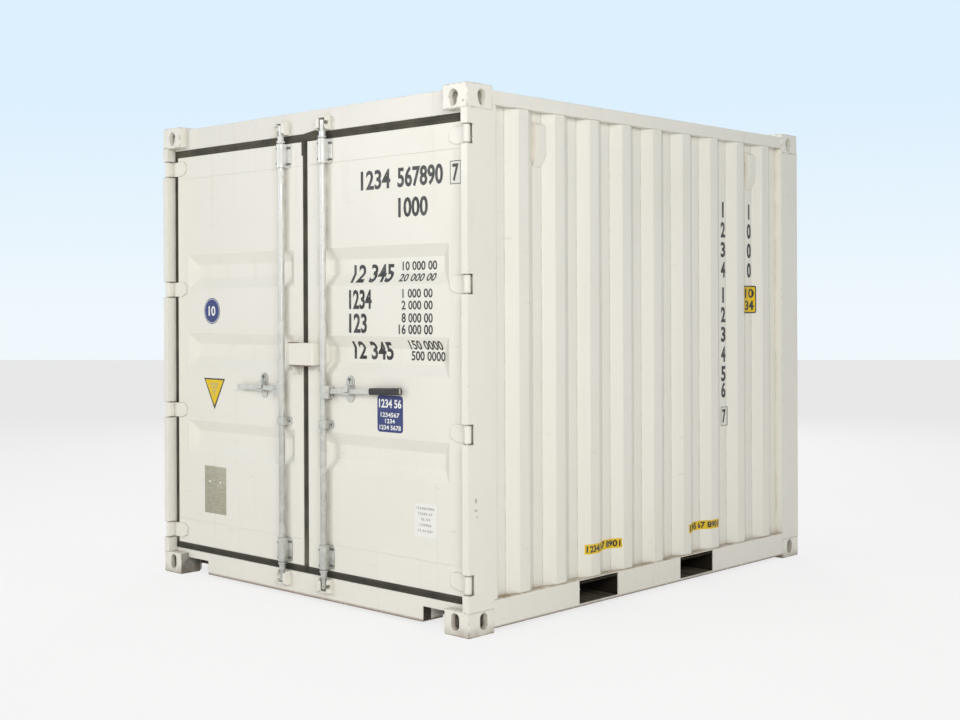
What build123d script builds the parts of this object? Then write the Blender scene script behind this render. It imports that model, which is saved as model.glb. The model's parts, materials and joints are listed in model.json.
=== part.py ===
"""Ten-foot shipping container, 8 ft 6 in high, with two hinged doors on one end.

Millimetres. X is the width, Y the length with the doors at -Y, Z is up.
The origin is on the ground under the centre of the container.
"""
import os
from math import cos, radians, sin, sqrt, tan

from build123d import *

os.makedirs("parts", exist_ok=True)

# Overall size
width = 2438.0
length = 2991.0
height = 2591.0

# Corner castings
casting_width = 162.0
casting_length = 178.0
casting_height = 118.0
casting_wall = 28.0
casting_inner_wall = 14.0
casting_corner_cut = 45.0
casting_edge_chamfer = 4.0
slot_length = 124.0
slot_width = 63.5
slot_from_end = 101.5
slot_from_side = 89.0
face_hole_width = 51.0
face_hole_height = 79.0
face_hole_base = 28.0
top_hole_upper_radius = 29.0
top_hole_lower_radius = 21.0
top_hole_from_top = 26.0

# Door end frame
frame_recess = 52.0
post_sheet = 6.0
post_front_width = 42.0
post_body_width = 76.0
post_front_depth = 110.0
door_post_side = 200.0
header_drop = 14.0
header_height = 117.0
header_depth = 120.0
header_sheet = 5.0
sill_bottom = 18.0
sill_top = 139.0
sill_depth = 140.0
sill_sheet = 5.0
sill_notch_width = 192.0
sill_notch_top = 94.0

# Closed end frame
closed_post_side = 185.0
closed_post_face = 90.0
closed_wall_inset = 4.0
end_rail_depth = 60.0

# Side rails
rail_inset = 4.0
top_rail_top_drop = 23.0
top_rail_height = 66.0
top_rail_width = 60.0
top_rail_sheet = 4.0
bottom_rail_bottom = 20.0
bottom_rail_top = 158.0
bottom_rail_flange = 50.0
bottom_rail_sheet = 6.0

# Corrugated walls
wall_sheet = 2.0
wall_inset = 8.0
wall_depth = 36.0
wall_pitch = 278.0
wall_outer_flat = 72.0
wall_slope_run = 68.0
side_pattern_shift = 18.5

# Roof
roof_sheet = 2.0
roof_rib_height = 18.0
roof_rib_width = 110.0
roof_rib_slope = 22.0
roof_rib_pitch = 209.0
roof_margin = 90.0

# Floor and what carries it
floor_top = 165.0
floor_thickness = 28.0
floor_side_gap = 3.0
cross_member_flange = 45.0
cross_member_sheet = 4.5
cross_member_pitch = 285.0
pocket_width = 325.0
pocket_spacing = 896.0
pocket_shift = -58.0
pocket_bottom = 33.0
pocket_mouth_top = 150.0
pocket_sheet = 6.0
pocket_strap = 220.0

# Doors
door_gap = 40.0
door_side_gap = 32.0
door_sill_gap = 38.0
door_header_gap = 42.0
door_thickness = 50.0
door_stile = 100.0
door_top_rail = 118.0
door_bottom_rail = 143.0
door_sheet = 3.0
press_depth = 36.0
press_height = 195.0
press_floor = 75.0
press_rises = (620.0, 1123.0, 1575.0)
press_lock_side = 72.0
press_hinge_side = 97.0
notch_width = 11.0
notch_height = 72.0
gasket_depth = 26.0
gasket_setback = 3.0
gasket_clearance = 1.0
gasket_centre_clearance = 3.0

# Hinges
hinge_count = 4
hinge_from_door_top = 66.0
hinge_from_door_bottom = 69.0
pin_from_side = 21.0
pin_from_end = 17.5
pin_radius = 11.0
pin_clearance = 0.4
pin_sides = 16
barrel_radius = 17.0
barrel_sides = 24
barrel_height = 82.0
hinge_cut_height = 92.0
hinge_cut_depth = 37.5
return_cut_depth = 58.0
return_cut_width = 27.0
lug_thickness = 12.0
hinge_web = 16.0
blade_thickness = 8.0
blade_reach = 138.0
blade_tip = 44.0

# Locking bars
bar_from_centre = 168.0
bar_from_end = 25.5
bar_radius = 17.0
cam_end_gap = 12.0
neck_radius = 12.0
neck_gap = 5.0
bracket_height = 125.0
bracket_sheet = 6.0
bracket_clearance = 1.5
bracket_near_flange = 22.0
bracket_far_flange = 30.0
bracket_corner = 8.0
bracket_inner_corner = 22.0
bracket_from_door_top = 2.0
bracket_from_door_bottom = 10.0
guide_height = 42.0
guide_rise = 760.0

# Cams and keepers
cam_radius = 24.0
cam_height = 42.0
cam_first_angle = 158.0
cam_sweep = 34.0
keeper_height = 72.0
keeper_bottom = 63.0
keeper_drop = 56.0
keeper_half_width = 40.0
keeper_wall = 8.0
keeper_mouth = 14.5
keeper_lip_front = 13.0
keeper_lip_back = 7.5
keeper_cap = 8.0
keeper_corner = 10.0
keeper_slot_height = 20.0
keeper_slot_depth = 24.0

# Handles and their catches
handle_height = 1110.0
handle_thickness = 10.0
handle_depth = 25.0
handle_pivot_out = 42.0
right_handle_reach = 570.0
left_handle_reach = 378.0
right_handle_tilt = 2.1
left_handle_tilt = -0.6
hub_height = 66.0
hub_drop = 5.0
hub_width = 34.0
hub_clearance = 1.0
hub_pin_radius = 6.0
hub_tip = 15.0
grip_start = 362.0
grip_length = 208.0
grip_height = 34.0
grip_thickness = 30.0
grip_fit = 0.15
grip_edge_radius = 10.0
right_catch_out = 186.0
left_catch_out = 176.0
catch_base_sheet = 6.0
catch_base_width = 54.0
catch_base_below = 56.0
catch_base_above = 80.0
cradle_width = 36.0
cradle_gap = 1.0
cradle_lip = 5.0
cradle_sheet = 4.0
catch_pivot_above = 60.0
catch_pivot_radius = 7.0
catch_width = 32.0
catch_sheet = 4.0
catch_bridge_above = 30.0
catch_tip_below = 3.0
catch_running_gap = 0.5
catch_front_clearance = 6.0
seal_hole_radius = 5.0
seal_hole_above_bridge = 9.0

# Lock box over the gap between the doors
lock_box_left = -87.0
lock_box_right = 113.0
lock_box_bottom = 1238.0
lock_box_top = 1357.0
lock_box_sheet = 5.0
lock_box_front_inset = 1.0
lock_box_back_gap = 9.0
lock_box_edge_radius = 12.0
lug_plate_left = -82.0
lug_plate_right = -32.0
lug_plate_bottom = 1190.0
lug_plate_sheet = 4.0
lug_tab_sheet = 8.0
lug_tab_height = 70.0
lug_tab_reach = 36.0

# Ventilators on the side walls
vent_width = 66.0
vent_height = 220.0
vent_drop = 50.0
vent_slope = 60.0
vent_depth = 33.0
vent_sheet = 3.0

# Reference planes and lengths worked out from the sizes above
half_width = width / 2
half_length = length / 2
frame_y = -half_length + frame_recess
door_back_y = frame_y + door_thickness
casting_top_base = height - casting_height
rail_face = half_width - rail_inset
rail_half_length = half_length - casting_length
top_rail_top = height - top_rail_top_drop
top_rail_bottom = top_rail_top - top_rail_height
header_top = height - header_drop
header_bottom = header_top - header_height
door_bottom = sill_top + door_sill_gap
door_top = header_bottom - door_header_gap
keeper_top = height - keeper_drop
vent_top = top_rail_bottom - vent_drop
wall_start = -half_length + door_post_side
wall_stop = half_length - closed_post_side
wall_face = half_width - wall_inset
floor_bottom = floor_top - floor_thickness
opening_half = half_width - post_front_width
pin_x = half_width - pin_from_side
pin_y = -half_length + pin_from_end
bar_y = -half_length + bar_from_end
bar_to_face = frame_y - bar_y
handle_y = bar_y
top_bracket_top = door_top - bracket_from_door_top
bottom_bracket_bottom = door_bottom + bracket_from_door_bottom
hinge_low = door_bottom + hinge_from_door_bottom
hinge_step = (door_top - hinge_from_door_top - hinge_low) / (hinge_count - 1)
hinge_heights = [hinge_low + index * hinge_step for index in range(hinge_count)]


def write(piece, name):
    """Label a finished piece and write its file."""
    piece.part.label = name
    export_step(piece.part, f"parts/{name}.step")


def write_mirrored(piece, name):
    """Write the left-hand copy of a right-hand piece."""
    with BuildPart() as mirrored:
        add(mirror(piece.part, about=Plane.YZ))
    write(mirrored, name)


def block(x_range, y_range, z_range, mode=Mode.ADD):
    """A plain block between two values on each axis, added to the part being built."""
    centre = tuple((low + high) / 2 for low, high in (x_range, y_range, z_range))
    sizes = [abs(high - low) for low, high in (x_range, y_range, z_range)]
    with Locations(centre):
        Box(*sizes, mode=mode)


# Corner castings: hollow blocks with a slot in the flat face and a hole in each outer face
def casting_block(flat_z, inward):
    """The right-hand block at the door end, open inside; inward is +1 from the flat face into it."""
    x_inner = half_width - casting_width
    y_inner = -half_length + casting_length
    z_far = flat_z + inward * casting_height
    with BuildPart() as casting:
        block((x_inner, half_width), (-half_length, y_inner), (flat_z, z_far))
        chamfer(
            casting.edges().filter_by(Axis.Z).sort_by(Axis.Y)[-2:].sort_by(Axis.X)[0],
            casting_corner_cut,
        )
        outer = casting.faces().sort_by(Axis.X)[-1].edges() + casting.faces().sort_by(Axis.Y)[0].edges()
        flat = casting.faces().sort_by(Axis.Z)[0 if inward > 0 else -1].edges()
        chamfer((outer + flat), casting_edge_chamfer)
        cavity_x = (x_inner + casting_inner_wall, half_width - casting_wall)
        cavity_y = (-half_length + casting_wall, y_inner - casting_inner_wall)
        cavity_cut = casting_corner_cut - casting_inner_wall * (2 - sqrt(2))
        with BuildSketch(Plane.XY.offset(flat_z + inward * casting_wall)):
            with BuildLine():
                Polyline(
                    (cavity_x[0], cavity_y[0]),
                    (cavity_x[1], cavity_y[0]),
                    (cavity_x[1], cavity_y[1]),
                    (cavity_x[0] + cavity_cut, cavity_y[1]),
                    (cavity_x[0], cavity_y[1] - cavity_cut),
                    close=True,
                )
            make_face()
        cavity_height = casting_height - casting_wall - casting_inner_wall
        extrude(amount=inward * cavity_height, mode=Mode.SUBTRACT)
        slot_centre = (half_width - slot_from_side, -half_length + slot_from_end)
        with BuildSketch(Plane.XY.offset(flat_z)):
            with Locations(slot_centre):
                SlotOverall(slot_length, slot_width, rotation=90)
        extrude(amount=inward * casting_wall, mode=Mode.SUBTRACT)
    return casting


def side_hole(top):
    """The outline of a casting's face hole, upright, centred across and based on its lowest point."""
    if top:
        low = top_hole_lower_radius
        high = face_hole_height - top_hole_upper_radius
        with Locations((0, low)):
            Circle(top_hole_lower_radius)
        with Locations((0, high)):
            Circle(top_hole_upper_radius)
        make_hull()
    else:
        with Locations((0, face_hole_height / 2)):
            SlotOverall(face_hole_height, face_hole_width, rotation=90)


def door_end_casting(top):
    """The right-hand casting at the door end, with the holes in its end and its side."""
    flat_z = height if top else 0.0
    inward = -1 if top else 1
    hole_base = height - top_hole_from_top - face_hole_height if top else face_hole_base
    block_part = casting_block(flat_z, inward)
    end_plane = Plane(
        origin=(half_width - slot_from_side, -half_length, hole_base),
        x_dir=(1, 0, 0),
        z_dir=(0, -1, 0),
    )
    side_plane = Plane(
        origin=(half_width, -half_length + slot_from_end, hole_base),
        x_dir=(0, 1, 0),
        z_dir=(1, 0, 0),
    )
    with BuildPart() as casting:
        add(block_part.part)
        for face_plane in (end_plane, side_plane):
            with BuildSketch(face_plane):
                side_hole(top)
            extrude(amount=-casting_wall, mode=Mode.SUBTRACT)
    return casting


for level in ("bottom", "top"):
    door_casting = door_end_casting(level == "top")
    with BuildPart() as closed_casting:
        add(mirror(door_casting.part, about=Plane.XZ))
    write(door_casting, f"casting_door_right_{level}")
    write_mirrored(door_casting, f"casting_door_left_{level}")
    write(closed_casting, f"casting_closed_right_{level}")
    write_mirrored(closed_casting, f"casting_closed_left_{level}")


# Door posts: hollow pressings with a step for the door and notches for the hinges
with BuildPart() as right_door_post:
    with BuildSketch(Plane.XY.offset(casting_height)):
        with BuildLine():
            Polyline(
                (half_width, -half_length),
                (half_width, wall_start),
                (half_width - post_body_width, wall_start),
                (half_width - post_body_width, -half_length + post_front_depth),
                (opening_half, -half_length + post_front_depth),
                (opening_half, -half_length),
                close=True,
            )
        make_face()
        offset(amount=-post_sheet, mode=Mode.SUBTRACT)
    extrude(amount=top_rail_bottom - casting_height)
    behind_casting = -half_length + casting_length
    block((0, width), (behind_casting, 0), (0, bottom_rail_top), mode=Mode.SUBTRACT)
    block((0, width), (-length, behind_casting), (casting_top_base, height), mode=Mode.SUBTRACT)
    for hinge_z in hinge_heights:
        cut_range = (hinge_z - hinge_cut_height / 2, hinge_z + hinge_cut_height / 2)
        block(
            (opening_half, half_width),
            (-half_length, -half_length + hinge_cut_depth),
            cut_range,
            mode=Mode.SUBTRACT,
        )
        block(
            (opening_half, opening_half + return_cut_width),
            (-half_length, -half_length + return_cut_depth),
            cut_range,
            mode=Mode.SUBTRACT,
        )

with BuildPart() as door_posts:
    add(right_door_post.part)
    mirror(about=Plane.YZ)
write(door_posts, "door_posts")

# Closed end posts: plain hollow angles
with BuildPart() as closed_end_posts:
    with BuildSketch(Plane.XY.offset(casting_height)):
        with Locations((half_width - closed_post_face / 2, half_length - closed_post_side / 2)):
            Rectangle(closed_post_face, closed_post_side)
        with Locations((half_width - closed_post_face, wall_stop)):
            Rectangle(
                2 * (closed_post_face - post_body_width),
                2 * (closed_post_side - closed_post_face),
                mode=Mode.SUBTRACT,
            )
        offset(amount=-post_sheet, mode=Mode.SUBTRACT)
    extrude(amount=top_rail_bottom - casting_height)
    block((0, width), (0, rail_half_length), (0, bottom_rail_top), mode=Mode.SUBTRACT)
    block((0, width), (rail_half_length, length), (casting_top_base, height), mode=Mode.SUBTRACT)
    mirror(about=Plane.YZ)
write(closed_end_posts, "closed_end_posts")

# Door header: a hollow beam between the top castings, running under them to the posts
with BuildPart() as door_header:
    header_y = (frame_y, frame_y + header_depth)
    casting_side = half_width - casting_width
    block((-casting_side, casting_side), header_y, (header_bottom, header_top))
    block(
        (-casting_side, casting_side),
        (frame_y + header_sheet, frame_y + header_depth - header_sheet),
        (header_bottom + header_sheet, header_top - header_sheet),
        mode=Mode.SUBTRACT,
    )
    for side in (-1, 1):
        block(
            (side * casting_side, side * opening_half),
            (frame_y, -half_length + post_front_depth),
            (header_bottom, casting_top_base),
        )
write(door_header, "door_header")

# Door sill: a pressed channel with a notch beside each bottom casting
with BuildPart() as door_sill:
    sill_y = (frame_y, frame_y + sill_depth)
    block((-casting_side, casting_side), sill_y, (sill_bottom, sill_top))
    block(
        (-casting_side, casting_side),
        (frame_y + sill_sheet, frame_y + sill_depth),
        (sill_bottom + sill_sheet, sill_top - sill_sheet),
        mode=Mode.SUBTRACT,
    )
    for side in (-1, 1):
        notch_end = casting_side - sill_notch_width
        block(
            (side * notch_end, side * casting_side),
            sill_y,
            (sill_bottom, sill_notch_top),
            mode=Mode.SUBTRACT,
        )
        block(
            (side * notch_end, side * casting_side),
            (frame_y, frame_y + sill_depth),
            (sill_notch_top, sill_notch_top + sill_sheet),
        )
        block(
            (side * (notch_end - sill_sheet), side * notch_end),
            sill_y,
            (sill_bottom, sill_top),
        )
        block(
            (side * casting_side, side * opening_half),
            (frame_y, -half_length + post_front_depth),
            (casting_height, sill_top),
        )
write(door_sill, "door_sill")

# Top side rails: square tubes between the castings
with BuildPart() as top_side_rails:
    rail_y = (-rail_half_length, rail_half_length)
    block((rail_face - top_rail_width, rail_face), rail_y, (top_rail_bottom, top_rail_top))
    block(
        (rail_face - top_rail_width + top_rail_sheet, rail_face - top_rail_sheet),
        rail_y,
        (top_rail_bottom + top_rail_sheet, top_rail_top - top_rail_sheet),
        mode=Mode.SUBTRACT,
    )
    mirror(about=Plane.YZ)
write(top_side_rails, "top_side_rails")

# Bottom side rails: channels open inwards, cut through at the fork pockets
pocket_centres = [pocket_shift - pocket_spacing / 2, pocket_shift + pocket_spacing / 2]
with BuildPart() as bottom_side_rails:
    rail_inner = rail_face - bottom_rail_flange
    block((rail_inner, rail_face), rail_y, (bottom_rail_bottom, bottom_rail_top))
    block(
        (rail_inner, rail_face - bottom_rail_sheet),
        rail_y,
        (bottom_rail_bottom + bottom_rail_sheet, bottom_rail_top - bottom_rail_sheet),
        mode=Mode.SUBTRACT,
    )
    for pocket_y in pocket_centres:
        block(
            (rail_inner, rail_face),
            (pocket_y - pocket_width / 2, pocket_y + pocket_width / 2),
            (pocket_bottom, pocket_mouth_top),
            mode=Mode.SUBTRACT,
        )
    mirror(about=Plane.YZ)
write(bottom_side_rails, "bottom_side_rails")

# Closed end rails: a tube along the top and a channel along the bottom
with BuildPart() as closed_end_rails:
    end_rail_y = (half_length - rail_inset - end_rail_depth, half_length - rail_inset)
    for rail_low, rail_high in (
        (bottom_rail_bottom, bottom_rail_top),
        (top_rail_bottom, top_rail_top),
    ):
        block((-casting_side, casting_side), end_rail_y, (rail_low, rail_high))
        block(
            (-casting_side, casting_side),
            (end_rail_y[0] + top_rail_sheet, end_rail_y[1] - top_rail_sheet),
            (rail_low + top_rail_sheet, rail_high - top_rail_sheet),
            mode=Mode.SUBTRACT,
        )
write(closed_end_rails, "closed_end_rails")


# Corrugated walls: one sheet each, bent in trapezoid waves that run upright
def wave_centres(start, stop, shift):
    """Where the middle of each outer flat lies along a wall."""
    wave_foot = wall_outer_flat + 2 * wall_slope_run
    count = int((stop - start - wave_foot) // wall_pitch) + 1
    middle = (start + stop) / 2 + shift
    return [middle + (index - (count - 1) / 2) * wall_pitch for index in range(count)]


def wave_points(start, stop, shift):
    """Points along a wall's outer face: (distance along, depth below the outer flats)."""
    points = [(start, wall_depth)]
    half_flat = wall_outer_flat / 2
    for centre in wave_centres(start, stop, shift):
        points.append((centre - half_flat - wall_slope_run, wall_depth))
        points.append((centre - half_flat, 0))
        points.append((centre + half_flat, 0))
        points.append((centre + half_flat + wall_slope_run, wall_depth))
    points.append((stop, wall_depth))
    return points


def wall(plane, face, start, stop, shift, low, high):
    """A corrugated sheet whose outer flats lie at face along the plane's own -y."""
    outer = [(along, -face + depth) for along, depth in wave_points(start, stop, shift)]
    inner = [(along, across + wall_sheet) for along, across in reversed(outer)]
    with BuildPart() as sheet:
        with BuildSketch(plane.offset(low)):
            with BuildLine():
                Polyline(*outer, *inner, close=True)
            make_face()
        extrude(amount=high - low)
    return sheet


side_plane = Plane(origin=(0, 0, 0), x_dir=(0, 1, 0), z_dir=(0, 0, 1))
right_side_wall = wall(
    side_plane,
    wall_face,
    wall_start,
    wall_stop,
    side_pattern_shift,
    bottom_rail_top,
    top_rail_bottom,
)
write(right_side_wall, "right_side_wall")
write_mirrored(right_side_wall, "left_side_wall")

end_plane = Plane(origin=(0, 0, 0), x_dir=(-1, 0, 0), z_dir=(0, 0, 1))
end_wall_half = half_width - closed_post_face
closed_end_wall = wall(
    end_plane,
    half_length - rail_inset - closed_wall_inset,
    -end_wall_half,
    end_wall_half,
    0,
    bottom_rail_top,
    top_rail_bottom,
)
with BuildPart() as notched_end_wall:
    add(closed_end_wall.part)
    for side in (-1, 1):
        block(
            (side * casting_side, side * width),
            (0, length),
            (casting_top_base, height),
            mode=Mode.SUBTRACT,
        )
write(notched_end_wall, "closed_end_wall")

# Roof: one sheet on the rails with pressed ribs across it
with BuildPart() as roof_panel:
    roof_half_width = rail_face - top_rail_width / 2
    roof_start = frame_y + header_depth
    roof_stop = half_length - rail_inset - end_rail_depth / 2
    roof_middle = (roof_start + roof_stop) / 2
    roof_span = roof_stop - roof_start
    roof_base = top_rail_top
    block(
        (-roof_half_width, roof_half_width),
        (roof_start, roof_stop),
        (roof_base, roof_base + roof_sheet),
    )
    rib_count = int((roof_span - 2 * roof_margin - roof_rib_width) // roof_rib_pitch) + 1
    rib_length = 2 * (roof_half_width - roof_margin)
    rib_places = [
        (0, roof_middle + (index - (rib_count - 1) / 2) * roof_rib_pitch)
        for index in range(rib_count)
    ]
    for step, mode in ((roof_sheet, Mode.ADD), (0, Mode.SUBTRACT)):
        for place in rib_places:
            with BuildSketch(Plane.XY.offset(roof_base + step)):
                with Locations(place):
                    Rectangle(rib_length + 2 * step, roof_rib_width + 2 * step)
            with BuildSketch(Plane.XY.offset(roof_base + roof_rib_height - roof_sheet + step)):
                with Locations(place):
                    Rectangle(
                        rib_length - 2 * roof_rib_slope + 2 * step,
                        roof_rib_width - 2 * roof_rib_slope + 2 * step,
                    )
            loft(ruled=True, mode=mode)
    for side in (-1, 1):
        for end in (-1, 1):
            block(
                (side * casting_side, side * width),
                (end * rail_half_length, end * length),
                (casting_top_base, height),
                mode=Mode.SUBTRACT,
            )
write(roof_panel, "roof_panel")

# Floor: one flat deck between the walls
with BuildPart() as floor_deck:
    floor_half = wall_face - wall_depth - wall_sheet - floor_side_gap
    block(
        (-floor_half, floor_half),
        (frame_y + sill_depth, half_length - rail_inset - end_rail_depth),
        (floor_bottom, floor_top),
    )
    for side in (-1, 1):
        block(
            (side * rail_inner, side * width),
            (-length, length),
            (floor_bottom, bottom_rail_top),
            mode=Mode.SUBTRACT,
        )
        block(
            (side * (half_width - post_body_width - floor_side_gap), side * width),
            (-length, wall_start + floor_side_gap),
            (floor_bottom, floor_top),
            mode=Mode.SUBTRACT,
        )
        block(
            (side * (half_width - closed_post_face - floor_side_gap), side * width),
            (wall_stop - floor_side_gap, length),
            (floor_bottom, floor_top),
            mode=Mode.SUBTRACT,
        )
write(floor_deck, "floor_deck")

# Cross members: channels from rail to rail, clear of the fork pockets
member_bottom = bottom_rail_bottom + bottom_rail_sheet
member_half = rail_face - bottom_rail_sheet
member_start = frame_y + sill_depth + cross_member_flange
member_stop = rail_half_length - cross_member_flange
member_count = int((member_stop - member_start) // cross_member_pitch) + 1
member_step = (member_stop - member_start) / (member_count - 1)
with BuildPart() as cross_members:
    for index in range(member_count):
        member_y = member_start + index * member_step
        distance = min(abs(member_y - pocket_y) for pocket_y in pocket_centres)
        if distance < pocket_width / 2 + cross_member_flange + pocket_sheet:
            continue
        block(
            (-member_half, member_half),
            (member_y - cross_member_flange / 2, member_y + cross_member_flange / 2),
            (member_bottom, floor_bottom),
        )
        block(
            (-member_half, member_half),
            (
                member_y - cross_member_flange / 2 + cross_member_sheet,
                member_y + cross_member_flange / 2,
            ),
            (member_bottom + cross_member_sheet, floor_bottom - cross_member_sheet),
            mode=Mode.SUBTRACT,
        )
write(cross_members, "cross_members")

# Fork pockets: open boxes across the base with a strap under each end
with BuildPart() as fork_pockets:
    for pocket_y in pocket_centres:
        outer_half = pocket_width / 2 + pocket_sheet
        block(
            (-member_half, member_half),
            (pocket_y - outer_half, pocket_y + outer_half),
            (member_bottom, floor_bottom),
        )
        block(
            (-member_half, member_half),
            (pocket_y - pocket_width / 2, pocket_y + pocket_width / 2),
            (pocket_bottom, floor_bottom - pocket_sheet),
            mode=Mode.SUBTRACT,
        )
        block(
            (-member_half + pocket_strap, member_half - pocket_strap),
            (pocket_y - pocket_width / 2, pocket_y + pocket_width / 2),
            (member_bottom, pocket_bottom),
            mode=Mode.SUBTRACT,
        )
write(fork_pockets, "fork_pockets")


# Keepers: upright cups on the header and sill, each with a lip that its cam turns behind
def keeper_side(inner_x, outer_x, low, high):
    """One side of a keeper, with its two front corners cut."""
    front = bar_y - keeper_lip_front
    with BuildPart(mode=Mode.PRIVATE) as cheek:
        block((inner_x, outer_x), (front, frame_y), (low, high))
        front_corners = cheek.edges().filter_by(Axis.X).group_by(Axis.Y)[0]
        chamfer(front_corners, keeper_corner)
    return cheek.part


def keeper(low, high, cap_low, cap_high):
    """One keeper on the right bar's line, with one lip and a cap between cap_low and cap_high."""
    inner = keeper_half_width - keeper_wall
    front = bar_y - keeper_lip_front
    back = bar_y - keeper_lip_back
    x_of = bar_from_centre
    middle = (low + high) / 2
    lips = (low + keeper_corner, high - keeper_corner)
    add(keeper_side(x_of - keeper_half_width, x_of - inner, low, high))
    add(keeper_side(x_of + inner, x_of + keeper_half_width, low, high))
    block((x_of - inner, x_of - keeper_mouth), (front, back), lips)
    block((x_of - inner, x_of + inner), (front + keeper_corner, frame_y), (cap_low, cap_high))
    block(
        (x_of, x_of + keeper_half_width),
        (front, front + keeper_slot_depth),
        (middle - keeper_slot_height / 2, middle + keeper_slot_height / 2),
        mode=Mode.SUBTRACT,
    )


with BuildPart() as cam_keepers:
    keeper(
        keeper_bottom,
        keeper_bottom + keeper_height,
        keeper_bottom,
        keeper_bottom + keeper_cap,
    )
    keeper(
        keeper_top - keeper_height,
        keeper_top,
        keeper_top - keeper_cap,
        keeper_top,
    )
    mirror(about=Plane.YZ)
write(cam_keepers, "cam_keepers")

# Hinge pins: each pin is carried by two lugs inside the post
with BuildPart() as hinge_pins:
    for hinge_z in hinge_heights:
        lug_z = hinge_cut_height / 2
        with BuildSketch(Plane((pin_x, pin_y, hinge_z))):
            RegularPolygon(pin_radius, pin_sides)
        extrude(amount=lug_z + lug_thickness, both=True)
        for lug_low, lug_high in (
            (hinge_z - lug_z - lug_thickness, hinge_z - lug_z),
            (hinge_z + lug_z, hinge_z + lug_z + lug_thickness),
        ):
            block(
                (opening_half + post_sheet, half_width - post_sheet),
                (-half_length + post_sheet, -half_length + return_cut_depth),
                (lug_low, lug_high),
            )
    mirror(about=Plane.YZ)
write(hinge_pins, "hinge_pins")

# Ventilator covers: hollow hoods with a sloped foot, in the first hollow from each end of a side wall
side_waves = wave_centres(wall_start, wall_stop, side_pattern_shift)
vent_centres = (side_waves[0] + wall_pitch / 2, side_waves[-1] - wall_pitch / 2)
with BuildPart() as ventilators:
    hood_back = wall_face - wall_depth
    hood_face = hood_back + vent_depth
    for vent_y in vent_centres:
        hood_plane = Plane(
            origin=(0, vent_y - vent_width / 2, 0), x_dir=(1, 0, 0), z_dir=(0, -1, 0)
        )
        with BuildSketch(hood_plane):
            with BuildLine():
                Polyline(
                    (hood_back, vent_top),
                    (hood_face, vent_top - vent_depth / 2),
                    (hood_face, vent_top - vent_height + vent_slope),
                    (hood_back, vent_top - vent_height),
                    close=True,
                )
            make_face()
        extrude(amount=-vent_width)
        with BuildSketch(hood_plane.offset(-vent_sheet)):
            with BuildLine():
                Polyline(
                    (hood_back, vent_top - vent_sheet),
                    (hood_face - vent_sheet, vent_top - vent_depth / 2 - vent_sheet),
                    (hood_face - vent_sheet, vent_top - vent_height + vent_slope + vent_sheet),
                    (hood_back, vent_top - vent_height + 2 * vent_sheet),
                    close=True,
                )
            make_face()
        extrude(amount=-(vent_width - 2 * vent_sheet), mode=Mode.SUBTRACT)
    mirror(about=Plane.YZ)
write(ventilators, "ventilators")


# Doors: a frame of box section round a pressed sheet
leaf_inner = door_gap / 2
leaf_outer = opening_half - door_side_gap
leaf_front = Plane(origin=(0, frame_y, 0), x_dir=(1, 0, 0), z_dir=(0, -1, 0))


def press_outline(centre_z, rise, grow):
    """One pressed hollow's outline at a depth of rise below the face."""
    slope = (press_height - press_floor) / 2 * rise / press_depth
    left = leaf_inner + press_lock_side + slope - grow
    right = leaf_outer - press_hinge_side - slope + grow
    tall = press_height - 2 * slope + 2 * grow
    with Locations(((left + right) / 2, centre_z)):
        Rectangle(right - left, tall)


with BuildPart() as right_door_leaf:
    block((leaf_inner, leaf_outer), (frame_y, door_back_y), (door_bottom, door_top))
    block(
        (leaf_inner + door_stile, leaf_outer - door_stile),
        (frame_y + door_sheet, door_back_y),
        (door_bottom + door_bottom_rail, door_top - door_top_rail),
        mode=Mode.SUBTRACT,
    )
    for press_rise in press_rises:
        press_z = door_bottom + press_rise
        with BuildSketch(leaf_front.offset(-door_sheet)):
            press_outline(press_z, 0, door_sheet)
        with BuildSketch(leaf_front.offset(-press_depth - door_sheet)):
            press_outline(press_z, press_depth, door_sheet)
        loft(ruled=True)
        with BuildSketch(leaf_front):
            press_outline(press_z, 0, 0)
        with BuildSketch(leaf_front.offset(-press_depth)):
            press_outline(press_z, press_depth, 0)
        loft(ruled=True, mode=Mode.SUBTRACT)
write(right_door_leaf, "right_door_leaf")

# The left leaf has a notch in its top inner corner
notch_range = (-leaf_inner - notch_width, -leaf_inner)
with BuildPart() as left_door_leaf:
    add(mirror(right_door_leaf.part, about=Plane.YZ))
    block(notch_range, (frame_y, door_back_y), (door_top - notch_height, door_top), mode=Mode.SUBTRACT)
write(left_door_leaf, "left_door_leaf")

# Door gaskets: a rubber strip all round each leaf that fills the gap to the frame
with BuildPart() as right_door_gasket:
    gasket_front = frame_y + gasket_setback
    gasket_back = gasket_front + gasket_depth
    block(
        (gasket_centre_clearance, opening_half - gasket_clearance),
        (gasket_front, gasket_back),
        (sill_top + gasket_clearance, header_bottom - gasket_clearance),
    )
    block(
        (leaf_inner, leaf_outer),
        (gasket_front, gasket_back),
        (door_bottom, door_top),
        mode=Mode.SUBTRACT,
    )
write(right_door_gasket, "right_door_gasket")

with BuildPart() as left_door_gasket:
    add(mirror(right_door_gasket.part, about=Plane.YZ))
    block(notch_range, (gasket_front, gasket_back), (door_top - notch_height, door_top))
write(left_door_gasket, "left_door_gasket")

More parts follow.
